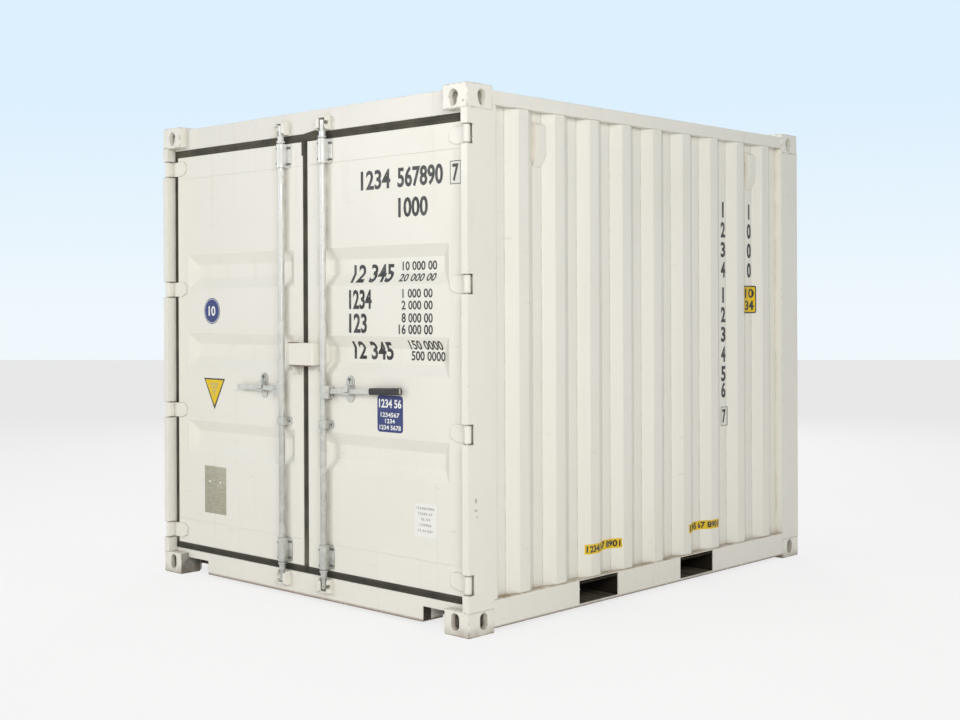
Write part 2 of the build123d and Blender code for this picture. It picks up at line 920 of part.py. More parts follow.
# Hinge blades: a barrel on the pin, a web behind it and a tapered blade on the door
with BuildPart() as right_hinge_blades:
    for hinge_z in hinge_heights:
        with BuildSketch(Plane((pin_x, pin_y, hinge_z))):
            RegularPolygon(barrel_radius, barrel_sides)
        extrude(amount=barrel_height / 2, both=True)
        block(
            (pin_x - hinge_web, pin_x),
            (pin_y, frame_y),
            (hinge_z - barrel_height / 2, hinge_z + barrel_height / 2),
        )
        with BuildSketch(leaf_front):
            with BuildLine():
                Polyline(
                    (pin_x - hinge_web, hinge_z - barrel_height / 2),
                    (pin_x - hinge_web, hinge_z + barrel_height / 2),
                    (pin_x - blade_reach + blade_tip / 2, hinge_z + barrel_height / 2),
                    (pin_x - blade_reach, hinge_z + blade_tip / 2),
                    (pin_x - blade_reach, hinge_z - blade_tip / 2),
                    (pin_x - blade_reach + blade_tip, hinge_z - barrel_height / 2),
                    close=True,
                )
            make_face()
        extrude(amount=blade_thickness)
        with BuildSketch(Plane((pin_x, pin_y, hinge_z))):
            RegularPolygon(pin_radius + pin_clearance, pin_sides, major_radius=False)
        extrude(amount=barrel_height / 2, both=True, mode=Mode.SUBTRACT)
write(right_hinge_blades, "right_hinge_blades")
write_mirrored(right_hinge_blades, "left_hinge_blades")


# Bar brackets: a flange on each side of a half round that wraps the bar
def door_brackets(centre_x):
    """Top bearing, rod guide and bottom bearing on one bar, each with its wide flange at +X."""
    outer = bar_radius + bracket_clearance + bracket_sheet
    inner = bar_radius + bracket_clearance
    near_end = centre_x - outer - bracket_near_flange
    far_end = centre_x + outer + bracket_far_flange
    guide_low = door_bottom + guide_rise - guide_height / 2
    spans = (
        (top_bracket_top - bracket_height, top_bracket_top),
        (guide_low, guide_low + guide_height),
        (bottom_bracket_bottom, bottom_bracket_bottom + bracket_height),
    )
    with BuildPart() as brackets:
        for low, high in spans:
            with BuildSketch(Plane.XY.offset(low)):
                with Locations((centre_x, bar_y)):
                    Circle(outer)
                with Locations((centre_x, (bar_y + frame_y) / 2)):
                    Rectangle(2 * outer, bar_to_face)
                with Locations(((near_end + far_end) / 2, frame_y - bracket_sheet / 2)):
                    Rectangle(far_end - near_end, bracket_sheet)
                with Locations((centre_x, bar_y)):
                    Circle(inner, mode=Mode.SUBTRACT)
                with Locations((centre_x, (bar_y + frame_y) / 2)):
                    Rectangle(2 * inner, bar_to_face, mode=Mode.SUBTRACT)
            extrude(amount=high - low)
        far_corners = brackets.edges().filter_by(Axis.Y).group_by(Axis.X)[-1].sort_by(Axis.Z)
        fillet((far_corners[1], far_corners[4]), bracket_inner_corner)
        chamfer((far_corners[0], far_corners[2], far_corners[3], far_corners[5]), bracket_corner)
    return brackets


write(door_brackets(bar_from_centre), "right_bar_brackets")
write(door_brackets(-bar_from_centre), "left_bar_brackets")

# Locking bars: a tube with a neck and a cam at each end and a hub for the handle
bar_low = keeper_bottom + keeper_height + neck_gap
bar_high = keeper_top - keeper_height - neck_gap
bottom_cam_bottom = keeper_bottom + keeper_cap + cam_end_gap
top_cam_top = keeper_top - keeper_cap - cam_end_gap

cam_first = (
    cam_radius * cos(radians(cam_first_angle)),
    cam_radius * sin(radians(cam_first_angle)),
)
with BuildPart() as right_locking_bar:
    with Locations((bar_from_centre, bar_y, (bar_low + bar_high) / 2)):
        Cylinder(bar_radius, bar_high - bar_low)
    with Locations((bar_from_centre, bar_y, (bottom_cam_bottom + top_cam_top) / 2)):
        Cylinder(neck_radius, top_cam_top - bottom_cam_bottom)
    for cam_low in (bottom_cam_bottom, top_cam_top - cam_height):
        with BuildSketch(Plane((bar_from_centre, bar_y, cam_low))):
            with BuildLine():
                Line((0, 0), cam_first)
                nose = CenterArc((0, 0), cam_radius, cam_first_angle, cam_sweep)
                Line(nose @ 1, (0, 0))
            make_face()
        extrude(amount=cam_height)
    hub_out = handle_pivot_out + hub_tip
    hub_middle = handle_height - hub_drop
    hub_range = (hub_middle - hub_height / 2, hub_middle + hub_height / 2)
    block(
        (bar_from_centre, bar_from_centre + hub_out),
        (handle_y - hub_width / 2, handle_y + hub_width / 2),
        hub_range,
    )
    slot_half = handle_thickness / 2 + hub_clearance
    block(
        (bar_from_centre + bar_radius, bar_from_centre + hub_out),
        (handle_y - slot_half, handle_y + slot_half),
        hub_range,
        mode=Mode.SUBTRACT,
    )
    pivot_centre = (bar_from_centre + handle_pivot_out, handle_y, handle_height)
    with BuildSketch(Plane(origin=pivot_centre, x_dir=(1, 0, 0), z_dir=(0, -1, 0))):
        RegularPolygon(hub_pin_radius, pin_sides)
    extrude(amount=hub_width / 2, both=True)
write(right_locking_bar, "right_locking_bar")
write_mirrored(right_locking_bar, "left_locking_bar")


# Handles: flat bars that pivot in the hub and lie a little off level
def handle_plane(side, tilt):
    """The plane of one handle, from its pivot, with its x along the handle away from the bar."""
    return Plane(
        origin=(side * (bar_from_centre + handle_pivot_out), handle_y, handle_height),
        x_dir=(side * cos(radians(tilt)), 0, sin(radians(tilt))),
        z_dir=(0, -1, 0),
    )


def handle(side, reach, tilt):
    """One handle on the bar at side, +1 for the right door and -1 for the left."""
    bar_length = reach - handle_pivot_out
    with BuildPart() as lever:
        with BuildSketch(handle_plane(side, tilt)):
            Circle(handle_depth / 2)
            with Locations((bar_length / 2, 0)):
                Rectangle(bar_length, handle_depth)
            RegularPolygon(
                hub_pin_radius + pin_clearance,
                pin_sides,
                major_radius=False,
                mode=Mode.SUBTRACT,
            )
        extrude(amount=handle_thickness / 2, both=True)
    return lever


write(handle(1, right_handle_reach, right_handle_tilt), "right_handle")
write(handle(-1, left_handle_reach, left_handle_tilt), "left_handle")

# Grip: a plastic sleeve on the right handle
right_handle_line = handle_plane(1, right_handle_tilt)
grip_from_pivot = grip_start - handle_pivot_out
with BuildPart() as handle_grip:
    with BuildSketch(
        Plane(
            origin=right_handle_line.origin + right_handle_line.x_dir * grip_from_pivot,
            x_dir=(0, 1, 0),
            z_dir=right_handle_line.x_dir,
        )
    ):
        RectangleRounded(grip_thickness, grip_height, grip_edge_radius)
        Rectangle(
            handle_thickness + 2 * grip_fit,
            handle_depth + 2 * grip_fit,
            mode=Mode.SUBTRACT,
        )
    extrude(amount=grip_length)
write(handle_grip, "handle_grip")


# Handle catches: a plate with a cradle under the handle, and a tongue that turns down over it
def level_at(out, tilt):
    """The height of a handle's middle line at a distance out from its bar."""
    return handle_height + (out - handle_pivot_out) * tan(radians(tilt))


def catch_plate(centre_x, level):
    """The plate on the door with the cradle and the tongue's pivot."""
    with BuildPart() as plate:
        plate_front = frame_y - catch_base_sheet
        plate_middle = level + (catch_base_above - catch_base_below) / 2
        with BuildSketch(leaf_front):
            with Locations((centre_x, plate_middle)):
                SlotOverall(catch_base_above + catch_base_below, catch_base_width, rotation=90)
        extrude(amount=catch_base_sheet)
        shelf_top = level - handle_depth / 2 - cradle_gap
        shelf_front = handle_y - handle_thickness / 2 - cradle_gap - cradle_sheet
        block(
            (centre_x - cradle_width / 2, centre_x + cradle_width / 2),
            (shelf_front, plate_front),
            (shelf_top - cradle_sheet, shelf_top),
        )
        block(
            (centre_x - cradle_width / 2, centre_x + cradle_width / 2),
            (shelf_front, shelf_front + cradle_sheet),
            (shelf_top, shelf_top + cradle_lip),
        )
        pivot_length = catch_running_gap * 2 + catch_sheet
        with BuildSketch(Plane((0, plate_front, 0), x_dir=(1, 0, 0), z_dir=(0, -1, 0))):
            with Locations((centre_x, level + catch_pivot_above)):
                RegularPolygon(catch_pivot_radius, pin_sides)
        extrude(amount=pivot_length)
    return plate


def catch_tongue(centre_x, level):
    """The tongue that turns on the plate's pivot: flat down to its bridge, then out and down."""
    back = frame_y - catch_base_sheet - catch_running_gap
    front = handle_y - handle_thickness / 2 - catch_front_clearance
    bridge_z = level + catch_bridge_above
    pivot_z = level + catch_pivot_above
    with BuildPart() as tongue:
        x_range = (centre_x - catch_width / 2, centre_x + catch_width / 2)
        block(x_range, (back - catch_sheet, back), (bridge_z, pivot_z))
        block(x_range, (front - catch_sheet, back), (bridge_z, bridge_z + catch_sheet))
        block(
            x_range,
            (front - catch_sheet, front),
            (level - catch_tip_below, bridge_z + catch_sheet),
        )
        tongue_back = Plane((0, back, 0), x_dir=(1, 0, 0), z_dir=(0, -1, 0))
        with BuildSketch(tongue_back):
            with Locations((centre_x, pivot_z)):
                Circle(catch_width / 2)
        extrude(amount=catch_sheet)
        with BuildSketch(tongue_back):
            with Locations((centre_x, pivot_z)):
                RegularPolygon(catch_pivot_radius + pin_clearance, pin_sides, major_radius=False)
            with Locations((centre_x, bridge_z + catch_sheet + seal_hole_above_bridge)):
                RegularPolygon(seal_hole_radius, pin_sides)
        extrude(amount=catch_sheet, mode=Mode.SUBTRACT)
    return tongue


right_catch_x = bar_from_centre + right_catch_out
left_catch_x = -bar_from_centre - left_catch_out
right_catch_level = level_at(right_catch_out, right_handle_tilt)
left_catch_level = level_at(left_catch_out, left_handle_tilt)
write(catch_plate(right_catch_x, right_catch_level), "right_catch_plate")
write(catch_tongue(right_catch_x, right_catch_level), "right_catch")
write(catch_plate(left_catch_x, left_catch_level), "left_catch_plate")
write(catch_tongue(left_catch_x, left_catch_level), "left_catch")

# Lock box: a hood on the right door, open below, that covers the lug of the left door
with BuildPart() as lock_box:
    box_front = -half_length + lock_box_front_inset
    block(
        (lock_box_left, lock_box_right),
        (box_front, frame_y),
        (lock_box_bottom, lock_box_top),
    )
    fillet(lock_box.edges().filter_by(Axis.Z).group_by(Axis.Y)[0], lock_box_edge_radius)
    block(
        (lock_box_left + lock_box_sheet, lock_box_right - lock_box_sheet),
        (box_front + lock_box_sheet, frame_y),
        (lock_box_bottom, lock_box_top - lock_box_sheet),
        mode=Mode.SUBTRACT,
    )
    block(
        (lock_box_left, leaf_inner),
        (frame_y - lock_box_back_gap, frame_y),
        (lock_box_bottom, lock_box_top),
        mode=Mode.SUBTRACT,
    )
write(lock_box, "lock_box")

# Padlock lug: a plate on the left door with a tab that reaches up into the lock box
with BuildPart() as padlock_lug:
    lug_face = frame_y - lug_plate_sheet
    lug_middle = (lug_plate_left + lug_plate_right) / 2
    block(
        (lug_plate_left, lug_plate_right),
        (lug_face, frame_y),
        (lug_plate_bottom, lug_plate_bottom + lug_tab_height),
    )
    block(
        (lug_middle - lug_tab_sheet / 2, lug_middle + lug_tab_sheet / 2),
        (frame_y - lug_tab_reach, lug_face),
        (lug_plate_bottom, lug_plate_bottom + lug_tab_height),
    )
write(padlock_lug, "padlock_lug")
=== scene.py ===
"""Looks of a ten-foot shipping container: paint, zinc, rubber, numbers, plates and fastenings."""
import json
import math

import bmesh
import bpy
from mathutils import Matrix, Vector


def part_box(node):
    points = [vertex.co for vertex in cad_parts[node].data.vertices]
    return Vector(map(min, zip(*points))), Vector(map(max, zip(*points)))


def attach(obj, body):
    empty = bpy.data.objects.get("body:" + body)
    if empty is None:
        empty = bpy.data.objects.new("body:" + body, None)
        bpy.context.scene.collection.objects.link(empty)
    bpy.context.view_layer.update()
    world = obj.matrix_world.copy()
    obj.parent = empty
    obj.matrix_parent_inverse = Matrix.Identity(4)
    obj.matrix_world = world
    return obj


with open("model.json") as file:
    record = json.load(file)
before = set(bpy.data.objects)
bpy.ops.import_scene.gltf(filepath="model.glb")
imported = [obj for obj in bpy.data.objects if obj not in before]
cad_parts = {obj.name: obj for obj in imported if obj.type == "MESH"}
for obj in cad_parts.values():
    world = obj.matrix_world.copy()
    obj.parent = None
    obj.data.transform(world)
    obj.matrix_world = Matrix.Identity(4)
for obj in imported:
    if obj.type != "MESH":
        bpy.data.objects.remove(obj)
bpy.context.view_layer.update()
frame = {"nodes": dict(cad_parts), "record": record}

nodes = frame["nodes"]

# Places on the container, in metres
both_sides = (("right", 1), ("left", -1))
door_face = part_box("right_door_leaf")[0].y
post_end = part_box("door_posts")[0].y
post_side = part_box("door_posts")[1].x
wall_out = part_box("right_side_wall")[1].x
rail_low, rail_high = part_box("bottom_side_rails")
box_low, box_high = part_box("lock_box")
floor_low, floor_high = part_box("floor_deck")
sill_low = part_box("door_sill")[0].z
header_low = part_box("door_header")[0].z
casting_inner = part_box("casting_door_right_bottom")[0].x
lower_casting_top = 0.118
upper_casting_foot = 2.473

# Locking bars, their brackets and their hubs
bar_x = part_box("cam_keepers")[1].x - 0.040
bar_y = post_end + 0.0255
bracket_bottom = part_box("right_bar_brackets")[0].z
bracket_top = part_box("right_bar_brackets")[1].z
bracket_tall = 0.125
bracket_spans = (
    (bracket_top - bracket_tall, bracket_top),
    (bracket_bottom, bracket_bottom + bracket_tall),
)
guide_middle = 0.937
sleeve_radius = 0.0245
sleeve_normal = Vector((-0.42, -0.91, 0)).normalized()
flange_face = door_face - 0.006
hub_beside = 0.042
hub_half = 0.017
hub_pin_height = 1.110
catch_face = door_face - 0.0107
catch_pivots = (("right", 0.354, 1.1753), ("left", -0.344, 1.1686))

# Hinges, the doors' pressed bands and the side walls' waves
hinge_heights = (0.246, 0.9481, 1.6502, 2.352)
hinge_cut_half = 0.046
press_middles = (0.797, 1.300, 1.752)
press_folds = (0.0975, 0.0375)
wave_pitch = 0.278
wave_fold = 0.104
wave_hollow = 0.036
wave_middles = [0.026 + (index - 4) * wave_pitch for index in range(9)]

# Studio: where the camera stood and how it looked
camera_place = (5.57391, -6.17285, 1.54771)
camera_turn = math.radians(44.3057)
camera_rise = math.radians(0.12675)
camera_roll = math.radians(-0.22578)
photo_width = 960
photo_height = 720
focal_pixels = 1377.774
centre_pixel = (435.387, 309.144)
sensor_width = 36.0
floor_edge_turn = math.radians(38.554)
floor_edge_distance = 31.0556


def linear(red, green, blue):
    """An 8-bit colour as the shader wants it."""
    parts = (value / 255 for value in (red, green, blue))
    return tuple(p / 12.92 if p <= 0.04045 else ((p + 0.055) / 1.055) ** 2.4 for p in parts) + (1.0,)


# Colours
white_paint_colour = linear(239, 237, 228)
shaded_header_paint_colour = linear(232, 230, 222)
underside_colour = linear(150, 145, 132)
paint_shade_colour = linear(230, 228, 215)
grime_colour = linear(150, 128, 94)
corner_shade_and_dirt_colour = linear(118, 99, 72)
rust_colour = linear(132, 84, 50)
dark_rust_colour = linear(70, 46, 33)
rust_and_shadow_colour = linear(116, 92, 58)
scuff_colour = linear(176, 168, 152)
painted_shadow_colour = linear(60, 60, 53)
hollow_shade_and_joint_colour = linear(44, 38, 32)
zinc_light_colour = linear(202, 202, 195)
zinc_dark_colour = linear(158, 159, 152)
zinc_bloom_and_sheen_colour = linear(242, 242, 238)
bright_rivet_colour = linear(240, 240, 236)
dark_steel_colour = linear(96, 96, 94)
rubber_colour = linear(62, 60, 52)
rubber_dust_colour = linear(100, 96, 84)
sill_rubber_colour = linear(38, 36, 31)
foot_dust_colour = linear(128, 126, 113)
pocket_light_colour = linear(50, 43, 34)
pocket_dark_colour = linear(24, 21, 17)
pocket_dust_colour = linear(122, 114, 96)
plywood_colour = linear(120, 84, 54)
plywood_dark_colour = linear(82, 56, 36)
grip_colour = linear(38, 37, 36)
grip_wear_colour = linear(84, 82, 80)
plate_light_colour = linear(192, 187, 167)
plate_dark_colour = linear(164, 159, 140)
plate_rule_colour = linear(96, 90, 76)
ink_colour = linear(31, 30, 27)
grey_ink_colour = linear(166, 164, 157)
yellow_colour = linear(234, 197, 6)
blue_colour = linear(44, 58, 118)
white_film_colour = linear(243, 243, 239)
near_floor_colour = linear(249, 249, 249)
far_floor_colour = linear(244, 244, 244)
low_sky_colour = linear(240, 248, 253)
high_sky_colour = linear(221, 240, 254)


# Shader writing
class Field:
    """A value that varies over a surface. Sums written with it add Math nodes."""

    def __init__(self, shading, socket):
        self.shading = shading
        self.socket = socket

    def _math(self, operation, first, second):
        inputs = {0: first, 1: second}
        return self.shading.node("ShaderNodeMath", {"operation": operation}, inputs)

    def __add__(self, other):
        return self._math("ADD", self, other)

    def __radd__(self, other):
        return self._math("ADD", other, self)

    def __sub__(self, other):
        return self._math("SUBTRACT", self, other)

    def __rsub__(self, other):
        return self._math("SUBTRACT", other, self)

    def __mul__(self, other):
        return self._math("MULTIPLY", self, other)

    def __rmul__(self, other):
        return self._math("MULTIPLY", other, self)

    def __pow__(self, other):
        return self._math("POWER", self, other)

    def __abs__(self):
        return self.shading.node("ShaderNodeMath", {"operation": "ABSOLUTE"}, {0: self})

    def most(self, other):
        """The greater of two values."""
        return self._math("MAXIMUM", self, other)

    def folded(self, width):
        """The value folded to and fro between 0 and a width."""
        inputs = {0: self, 1: width}
        return self.shading.node("ShaderNodeMath", {"operation": "PINGPONG"}, inputs)


class Shading:
    """A node tree and the ways to add to it."""

    def __init__(self, tree):
        self.tree = tree

    def node(self, kind, settings, inputs, output=0):
        """Add one node. Its settings are set first, then each socket's value or link."""
        made = self.tree.nodes.new(kind)
        for key, value in settings.items():
            setattr(made, key, value)
        for key, value in inputs.items():
            if isinstance(value, Field):
                self.tree.links.new(value.socket, made.inputs[key])
            else:
                made.inputs[key].default_value = value
        return made if output is None else Field(self, made.outputs[output])

    def ramp(self, value, low, high, kind="SMOOTHSTEP"):
        """0 below low and 1 above high."""
        inputs = {"Value": value, "From Min": low, "From Max": high}
        return self.node("ShaderNodeMapRange", {"interpolation_type": kind}, inputs)

    def blend(self, factor, first, second):
        """A colour between two colours."""
        return self.node("ShaderNodeMix", {"data_type": "RGBA"}, {0: factor, 6: first, 7: second}, 2)

    def seen_or_mirrored(self):
        """1 for what the camera sees, itself or in gloss, and 0 for what only gives light."""
        path = self.node("ShaderNodeLightPath", {}, {}, None)
        camera_ray, glossy_ray = (
            Field(self, path.outputs[name]) for name in ("Is Camera Ray", "Is Glossy Ray")
        )
        return camera_ray.most(glossy_ray)


class Surface(Shading):
    """One material: its nodes, its Object coordinates and its shader."""

    def __init__(self, name):
        self.material = bpy.data.materials.new(name)
        self.material.use_nodes = True
        super().__init__(self.material.node_tree)
        self.shader = self.tree.nodes["Principled BSDF"]
        self.place = self.node("ShaderNodeTexCoord", {}, {}, "Object")
        split = self.node("ShaderNodeSeparateXYZ", {}, {"Vector": self.place}, None)
        self.x, self.y, self.z = (Field(self, split.outputs[i]) for i in range(3))

    def noise(self, scale, detail=4.0, roughness=0.5, stretch=(1, 1, 1)):
        """Cloudy noise from 0 to 1, with its pattern drawn finer along an axis by its stretch."""
        place = self.node("ShaderNodeMapping", {}, {"Vector": self.place, "Scale": stretch})
        inputs = {"Vector": place, "Scale": scale, "Detail": detail, "Roughness": roughness}
        return self.node("ShaderNodeTexNoise", {}, inputs, "Fac")

    def near(self, value, middle, reach):
        """1 where a value is at its middle, falling to 0 at reach."""
        return 1 - self.ramp(abs(value - middle), 0.0, reach)

    def rounded_normal(self, radius):
        """A normal that rounds off sharp edges."""
        return self.node("ShaderNodeBevel", {"samples": 4}, {"Radius": radius})

    def edge(self, soft):
        """1 along sharp edges and 0 on the flats, read from the rounded normal."""
        flat = self.node("ShaderNodeNewGeometry", {}, {}, "True Normal")
        inputs = {0: soft, 1: flat}
        likeness = self.node("ShaderNodeVectorMath", {"operation": "DOT_PRODUCT"}, inputs, "Value")
        return self.ramp(1 - likeness, 0.006, 0.07)

    def crevice(self, reach):
        """1 in tight corners and 0 in the open."""
        light = self.node("ShaderNodeAmbientOcclusion", {"samples": 6}, {"Distance": reach}, "AO")
        return self.ramp(1 - light, 0.15, 0.85)

    def bump(self, height, distance, soft=None):
        """A normal pushed about by a height field, in metres."""
        inputs = {"Height": height, "Distance": distance}
        if soft is not None:
            inputs["Normal"] = soft
        return self.node("ShaderNodeBump", {}, inputs)

    def finish(self, **inputs):
        """Set or link the shader's own sockets by name and give back the material."""
        for key, value in inputs.items():
            socket = self.shader.inputs[key.replace("_", " ")]
            if isinstance(value, Field):
                self.tree.links.new(value.socket, socket)
            else:
                socket.default_value = value
        return self.material


# Materials
def white_paint(
    name,
    chips,
    rust_lines=(),
    grime_lines=(),
    painted_shadow_places=(),
    foot=0.0,
    tone=white_paint_colour,
    wear=0.0035,
    corners=(0.035, 0.10, 0.34),
):
    """Satin off-white paint with faint streaks, painted shade and dirt in its corners, painted shadow on
    given places and rust along worn edges.

    Foot is the height up to which the edges rust most, and wear the width of a worn edge.
    Corners gives how far the painted corner shade and dirt reach, how strong the shade is and how strong
    the dirt stains are.
    """
    paint = Surface(name)
    cloud = paint.noise(1.2, detail=3.0)
    tint = paint.ramp(cloud, 0.38, 0.72)
    streak = paint.ramp(paint.noise(1.0, stretch=(26, 26, 0.8), detail=3.0), 0.56, 0.84)
    colour = paint.blend(tint * 0.30, tone, paint_shade_colour)
    colour = paint.blend(streak * 0.07, colour, grime_colour)
    scuff_field = paint.noise(7.0, stretch=(1, 1, 5), detail=6.0, roughness=0.62)
    scuff = paint.ramp(scuff_field, 0.66, 0.72)
    colour = paint.blend(scuff * 0.22, colour, scuff_colour)
    corner_reach, corner_shade, corner_stain = corners
    # Painted shade: corners darkened by ambient occlusion, with dirt stains mixed in
    corner = paint.crevice(corner_reach)
    dirt_and_shade_mottle = paint.ramp(paint.noise(11, detail=5.0, roughness=0.6), 0.30, 0.70)
    colour = paint.blend(corner * (corner_shade + dirt_and_shade_mottle * corner_stain), colour, corner_shade_and_dirt_colour)
    soft = paint.rounded_normal(wear)
    worn = paint.edge(soft)
    chip_field = paint.noise(38, detail=5.0, roughness=0.68)
    for line in grime_lines:
        colour = paint.blend(line(paint) * (0.30 + dirt_and_shade_mottle * 0.70), colour, grime_colour)
    # Painted shadow on the given places, mottled by the same noise as the dirt
    for place in painted_shadow_places:
        colour = paint.blend(place(paint) * (0.60 + dirt_and_shade_mottle * 0.30), colour, painted_shadow_colour)
    chip = worn * paint.ramp(chip_field, 0.66 - chips * 0.18, 0.70 - chips * 0.14)
    for line in rust_lines:
        chip = chip.most(line(paint) * paint.ramp(chip_field, 0.26, 0.42))
    if foot:
        low = 1 - paint.ramp(paint.z, foot * 0.2, foot)
        chip = chip.most(low * worn * paint.ramp(chip_field, 0.42, 0.50))
        colour = paint.blend(low * dirt_and_shade_mottle * 0.25, colour, grime_colour)
    rust_patches = paint.ramp(paint.noise(90, detail=3.0), 0.4, 0.6)
    rust = paint.blend(rust_patches, rust_colour, dark_rust_colour)
    colour = paint.blend(chip * 0.85, colour, rust)
    grain = paint.noise(420, detail=2.0)
    wave = paint.noise(2.4, detail=2.0)
    height = grain * 0.0001 + wave * 0.003 - chip * 0.0003
    roughness = 0.34 + tint * 0.10 + streak * 0.12 + scuff * 0.12 + chip * 0.35
    normal = paint.bump(height, 1.0, soft)
    return paint.finish(Base_Color=colour, Roughness=roughness, Normal=normal, IOR=1.5)


def line_at_height(height, reach, along=None, low=0.0, high=0.0):
    """A line at one height, kept to a stretch of x or y if one is given."""

    def draw(paint):
        line = paint.near(paint.z, height, reach)
        if along is None:
            return line
        value = getattr(paint, along)
        return line * paint.near(value, (low + high) / 2, (high - low) / 2 * 1.15)

    return draw


def spot(along, middle, reach, height, height_reach):
    """A small mark at one place along x or y, only near the container's right side."""

    def draw(paint):
        beside = paint.near(getattr(paint, along), middle, reach)
        right_side = paint.ramp(paint.x, 1.0, 1.1)
        return beside * paint.near(paint.z, height, height_reach) * right_side

    return draw


def wave_creases(paint):
    """Thin dirt lines in the folds beside the side wall's hollows."""
    from_wave = abs(paint.y - wave_middles[0]).folded(wave_pitch / 2)
    return paint.near(from_wave, wave_fold, 0.005) * 0.42


def inner_faces(paint):
    """The faces of the bottom castings that look at each other under the container, where shadow is
    painted.
    """
    return 1 - paint.ramp(abs(paint.x), casting_inner + 0.0005, casting_inner + 0.003)


def zinc_coat():
    """Dull galvanised steel with cloudy spangle, white bloom, brown stains, a painted reflection that
    lightens it towards the top and painted shade with rust in tight corners.
    """
    zinc = Surface("zinc_coat")
    spangle = zinc.noise(110, detail=2.0, roughness=0.7)
    bloom = zinc.ramp(zinc.noise(16, detail=5.0), 0.40, 0.64)
    # Painted reflection: the zinc grows lighter towards the top, as if mirroring a bright sky
    height = zinc.ramp(zinc.z, 0.2, 2.3)
    colour = zinc.blend(spangle, zinc_dark_colour, zinc_light_colour)
    colour = zinc.blend(bloom * 0.25 + height * 0.50, colour, zinc_bloom_and_sheen_colour)
    stain = zinc.ramp(zinc.noise(30, detail=6.0, roughness=0.72), 0.58, 0.70)
    colour = zinc.blend(stain * 0.30, colour, grime_colour)
    # Painted shade with rust: tight corners darkened by ambient occlusion
    corner = zinc.crevice(0.012)
    colour = zinc.blend(corner * 0.45, colour, dark_rust_colour)
    soft = zinc.rounded_normal(0.0015)
    normal = zinc.bump(zinc.noise(240, detail=3.0), 0.0003, soft)
    roughness = 0.40 + bloom * 0.22 + spangle * 0.08
    metallic = 0.55 - bloom * 0.35 - stain * 0.1
    return zinc.finish(Base_Color=colour, Roughness=roughness, Metallic=metallic, Normal=normal)


def gasket_rubber():
    """Black rubber greyed by dust, darker along the sill and dusty above it."""
    rubber = Surface("gasket_rubber")
    dust = rubber.ramp(rubber.noise(7, detail=6.0, roughness=0.6), 0.30, 0.68)
    colour = rubber.blend(dust * 0.65, rubber_colour, rubber_dust_colour)
    sill_strip = 1 - rubber.ramp(rubber.z, 0.150, 0.190)
    colour = rubber.blend(sill_strip * 0.45, colour, sill_rubber_colour)
    foot = rubber.ramp(rubber.z, 0.165, 0.200) * (1 - rubber.ramp(rubber.z, 0.260, 0.550))
    colour = rubber.blend(foot * (0.25 + dust * 0.45), colour, foot_dust_colour)
    roughness = 0.68 + dust * 0.2
    normal = rubber.bump(rubber.noise(300, detail=2.0), 0.0003)
    return rubber.finish(
        Base_Color=colour, Roughness=roughness, Normal=normal, Specular_IOR_Level=0.3
    )


def pocket_shade_and_dust():
    """Very dark steel inside the fork pockets, its darkness painted shade, with streaks of dust on their
    floors.
    """
    steel = Surface("pocket_shade_and_dust")
    # Painted shade: the pockets' insides are coloured near black
    cloud = steel.noise(14, detail=6.0, roughness=0.65)
    colour = steel.blend(cloud, pocket_dark_colour, pocket_light_colour)
    facing_way = steel.node("ShaderNodeNewGeometry", {}, {}, "Normal")
    upward = steel.node("ShaderNodeSeparateXYZ", {}, {"Vector": facing_way}, "Z")
    streak = steel.ramp(steel.noise(1.0, stretch=(3, 40, 1), detail=4.0), 0.38, 0.62)
    dust = steel.ramp(upward, 0.5, 0.9) * (0.25 + streak * 0.5)
    colour = steel.blend(dust, colour, pocket_dust_colour)
    return steel.finish(Base_Color=colour, Roughness=0.85 + cloud * 0.1, Specular_IOR_Level=0.15)


def plywood():
    """Sealed dark plywood with a long grain."""
    wood = Surface("plywood")
    grain = wood.noise(6, stretch=(9, 0.7, 9), detail=6.0, roughness=0.6)
    colour = wood.blend(grain, plywood_dark_colour, plywood_colour)
    normal = wood.bump(grain, 0.001)
    return wood.finish(Base_Color=colour, Roughness=0.5 + grain * 0.2, Normal=normal)


def grip_plastic():
    """Black plastic with a moulded grain."""
    plastic = Surface("grip_plastic")
    wear = plastic.ramp(plastic.noise(30, detail=5.0), 0.5, 0.75)
    colour = plastic.blend(wear * 0.4, grip_colour, grip_wear_colour)
    normal = plastic.bump(plastic.noise(700, detail=2.0), 0.0004)
    return plastic.finish(Base_Color=colour, Roughness=0.5 + wear * 0.2, Normal=normal)


def film(name, colour, fade, roughness=0.42):
    """Printed film, brushed ink or a thin coat: one colour, a little faded and scratched."""
    sheet = Surface(name)
    faded = sheet.ramp(sheet.noise(26, detail=6.0, roughness=0.65), 0.42, 0.72)
    fading_share, faded_level = 0.38, 0.72
    lighter = tuple(
        (1 - fading_share) * part + fading_share * faded_level for part in colour[:3]
    ) + (1.0,)
    shade = sheet.blend(faded * fade, colour, lighter)
    normal = sheet.bump(sheet.noise(500, detail=2.0), 0.00015)
    return sheet.finish(Base_Color=shade, Roughness=roughness + faded * 0.15, Normal=normal)


def ruled_plate():
    """Dull grey metal plate ruled with fine engraved lines in blocks."""
    plate = Surface("ruled_plate")
    tone = plate.noise(40, detail=4.0)
    colour = plate.blend(tone, plate_dark_colour, plate_light_colour)
    step = 0.0125
    rule = 1 - plate.ramp(plate.z.folded(step / 2), step * 0.10, step * 0.22)
    broken = plate.ramp(plate.noise(1.0, stretch=(48, 1, 160), detail=2.0), 0.42, 0.54)
    colour = plate.blend(rule * broken * 0.45, colour, plate_rule_colour)
    normal = plate.bump(rule * -0.0003, 1.0)
    return plate.finish(Base_Color=colour, Roughness=0.42 + tone * 0.2, Metallic=0.35, Normal=normal)


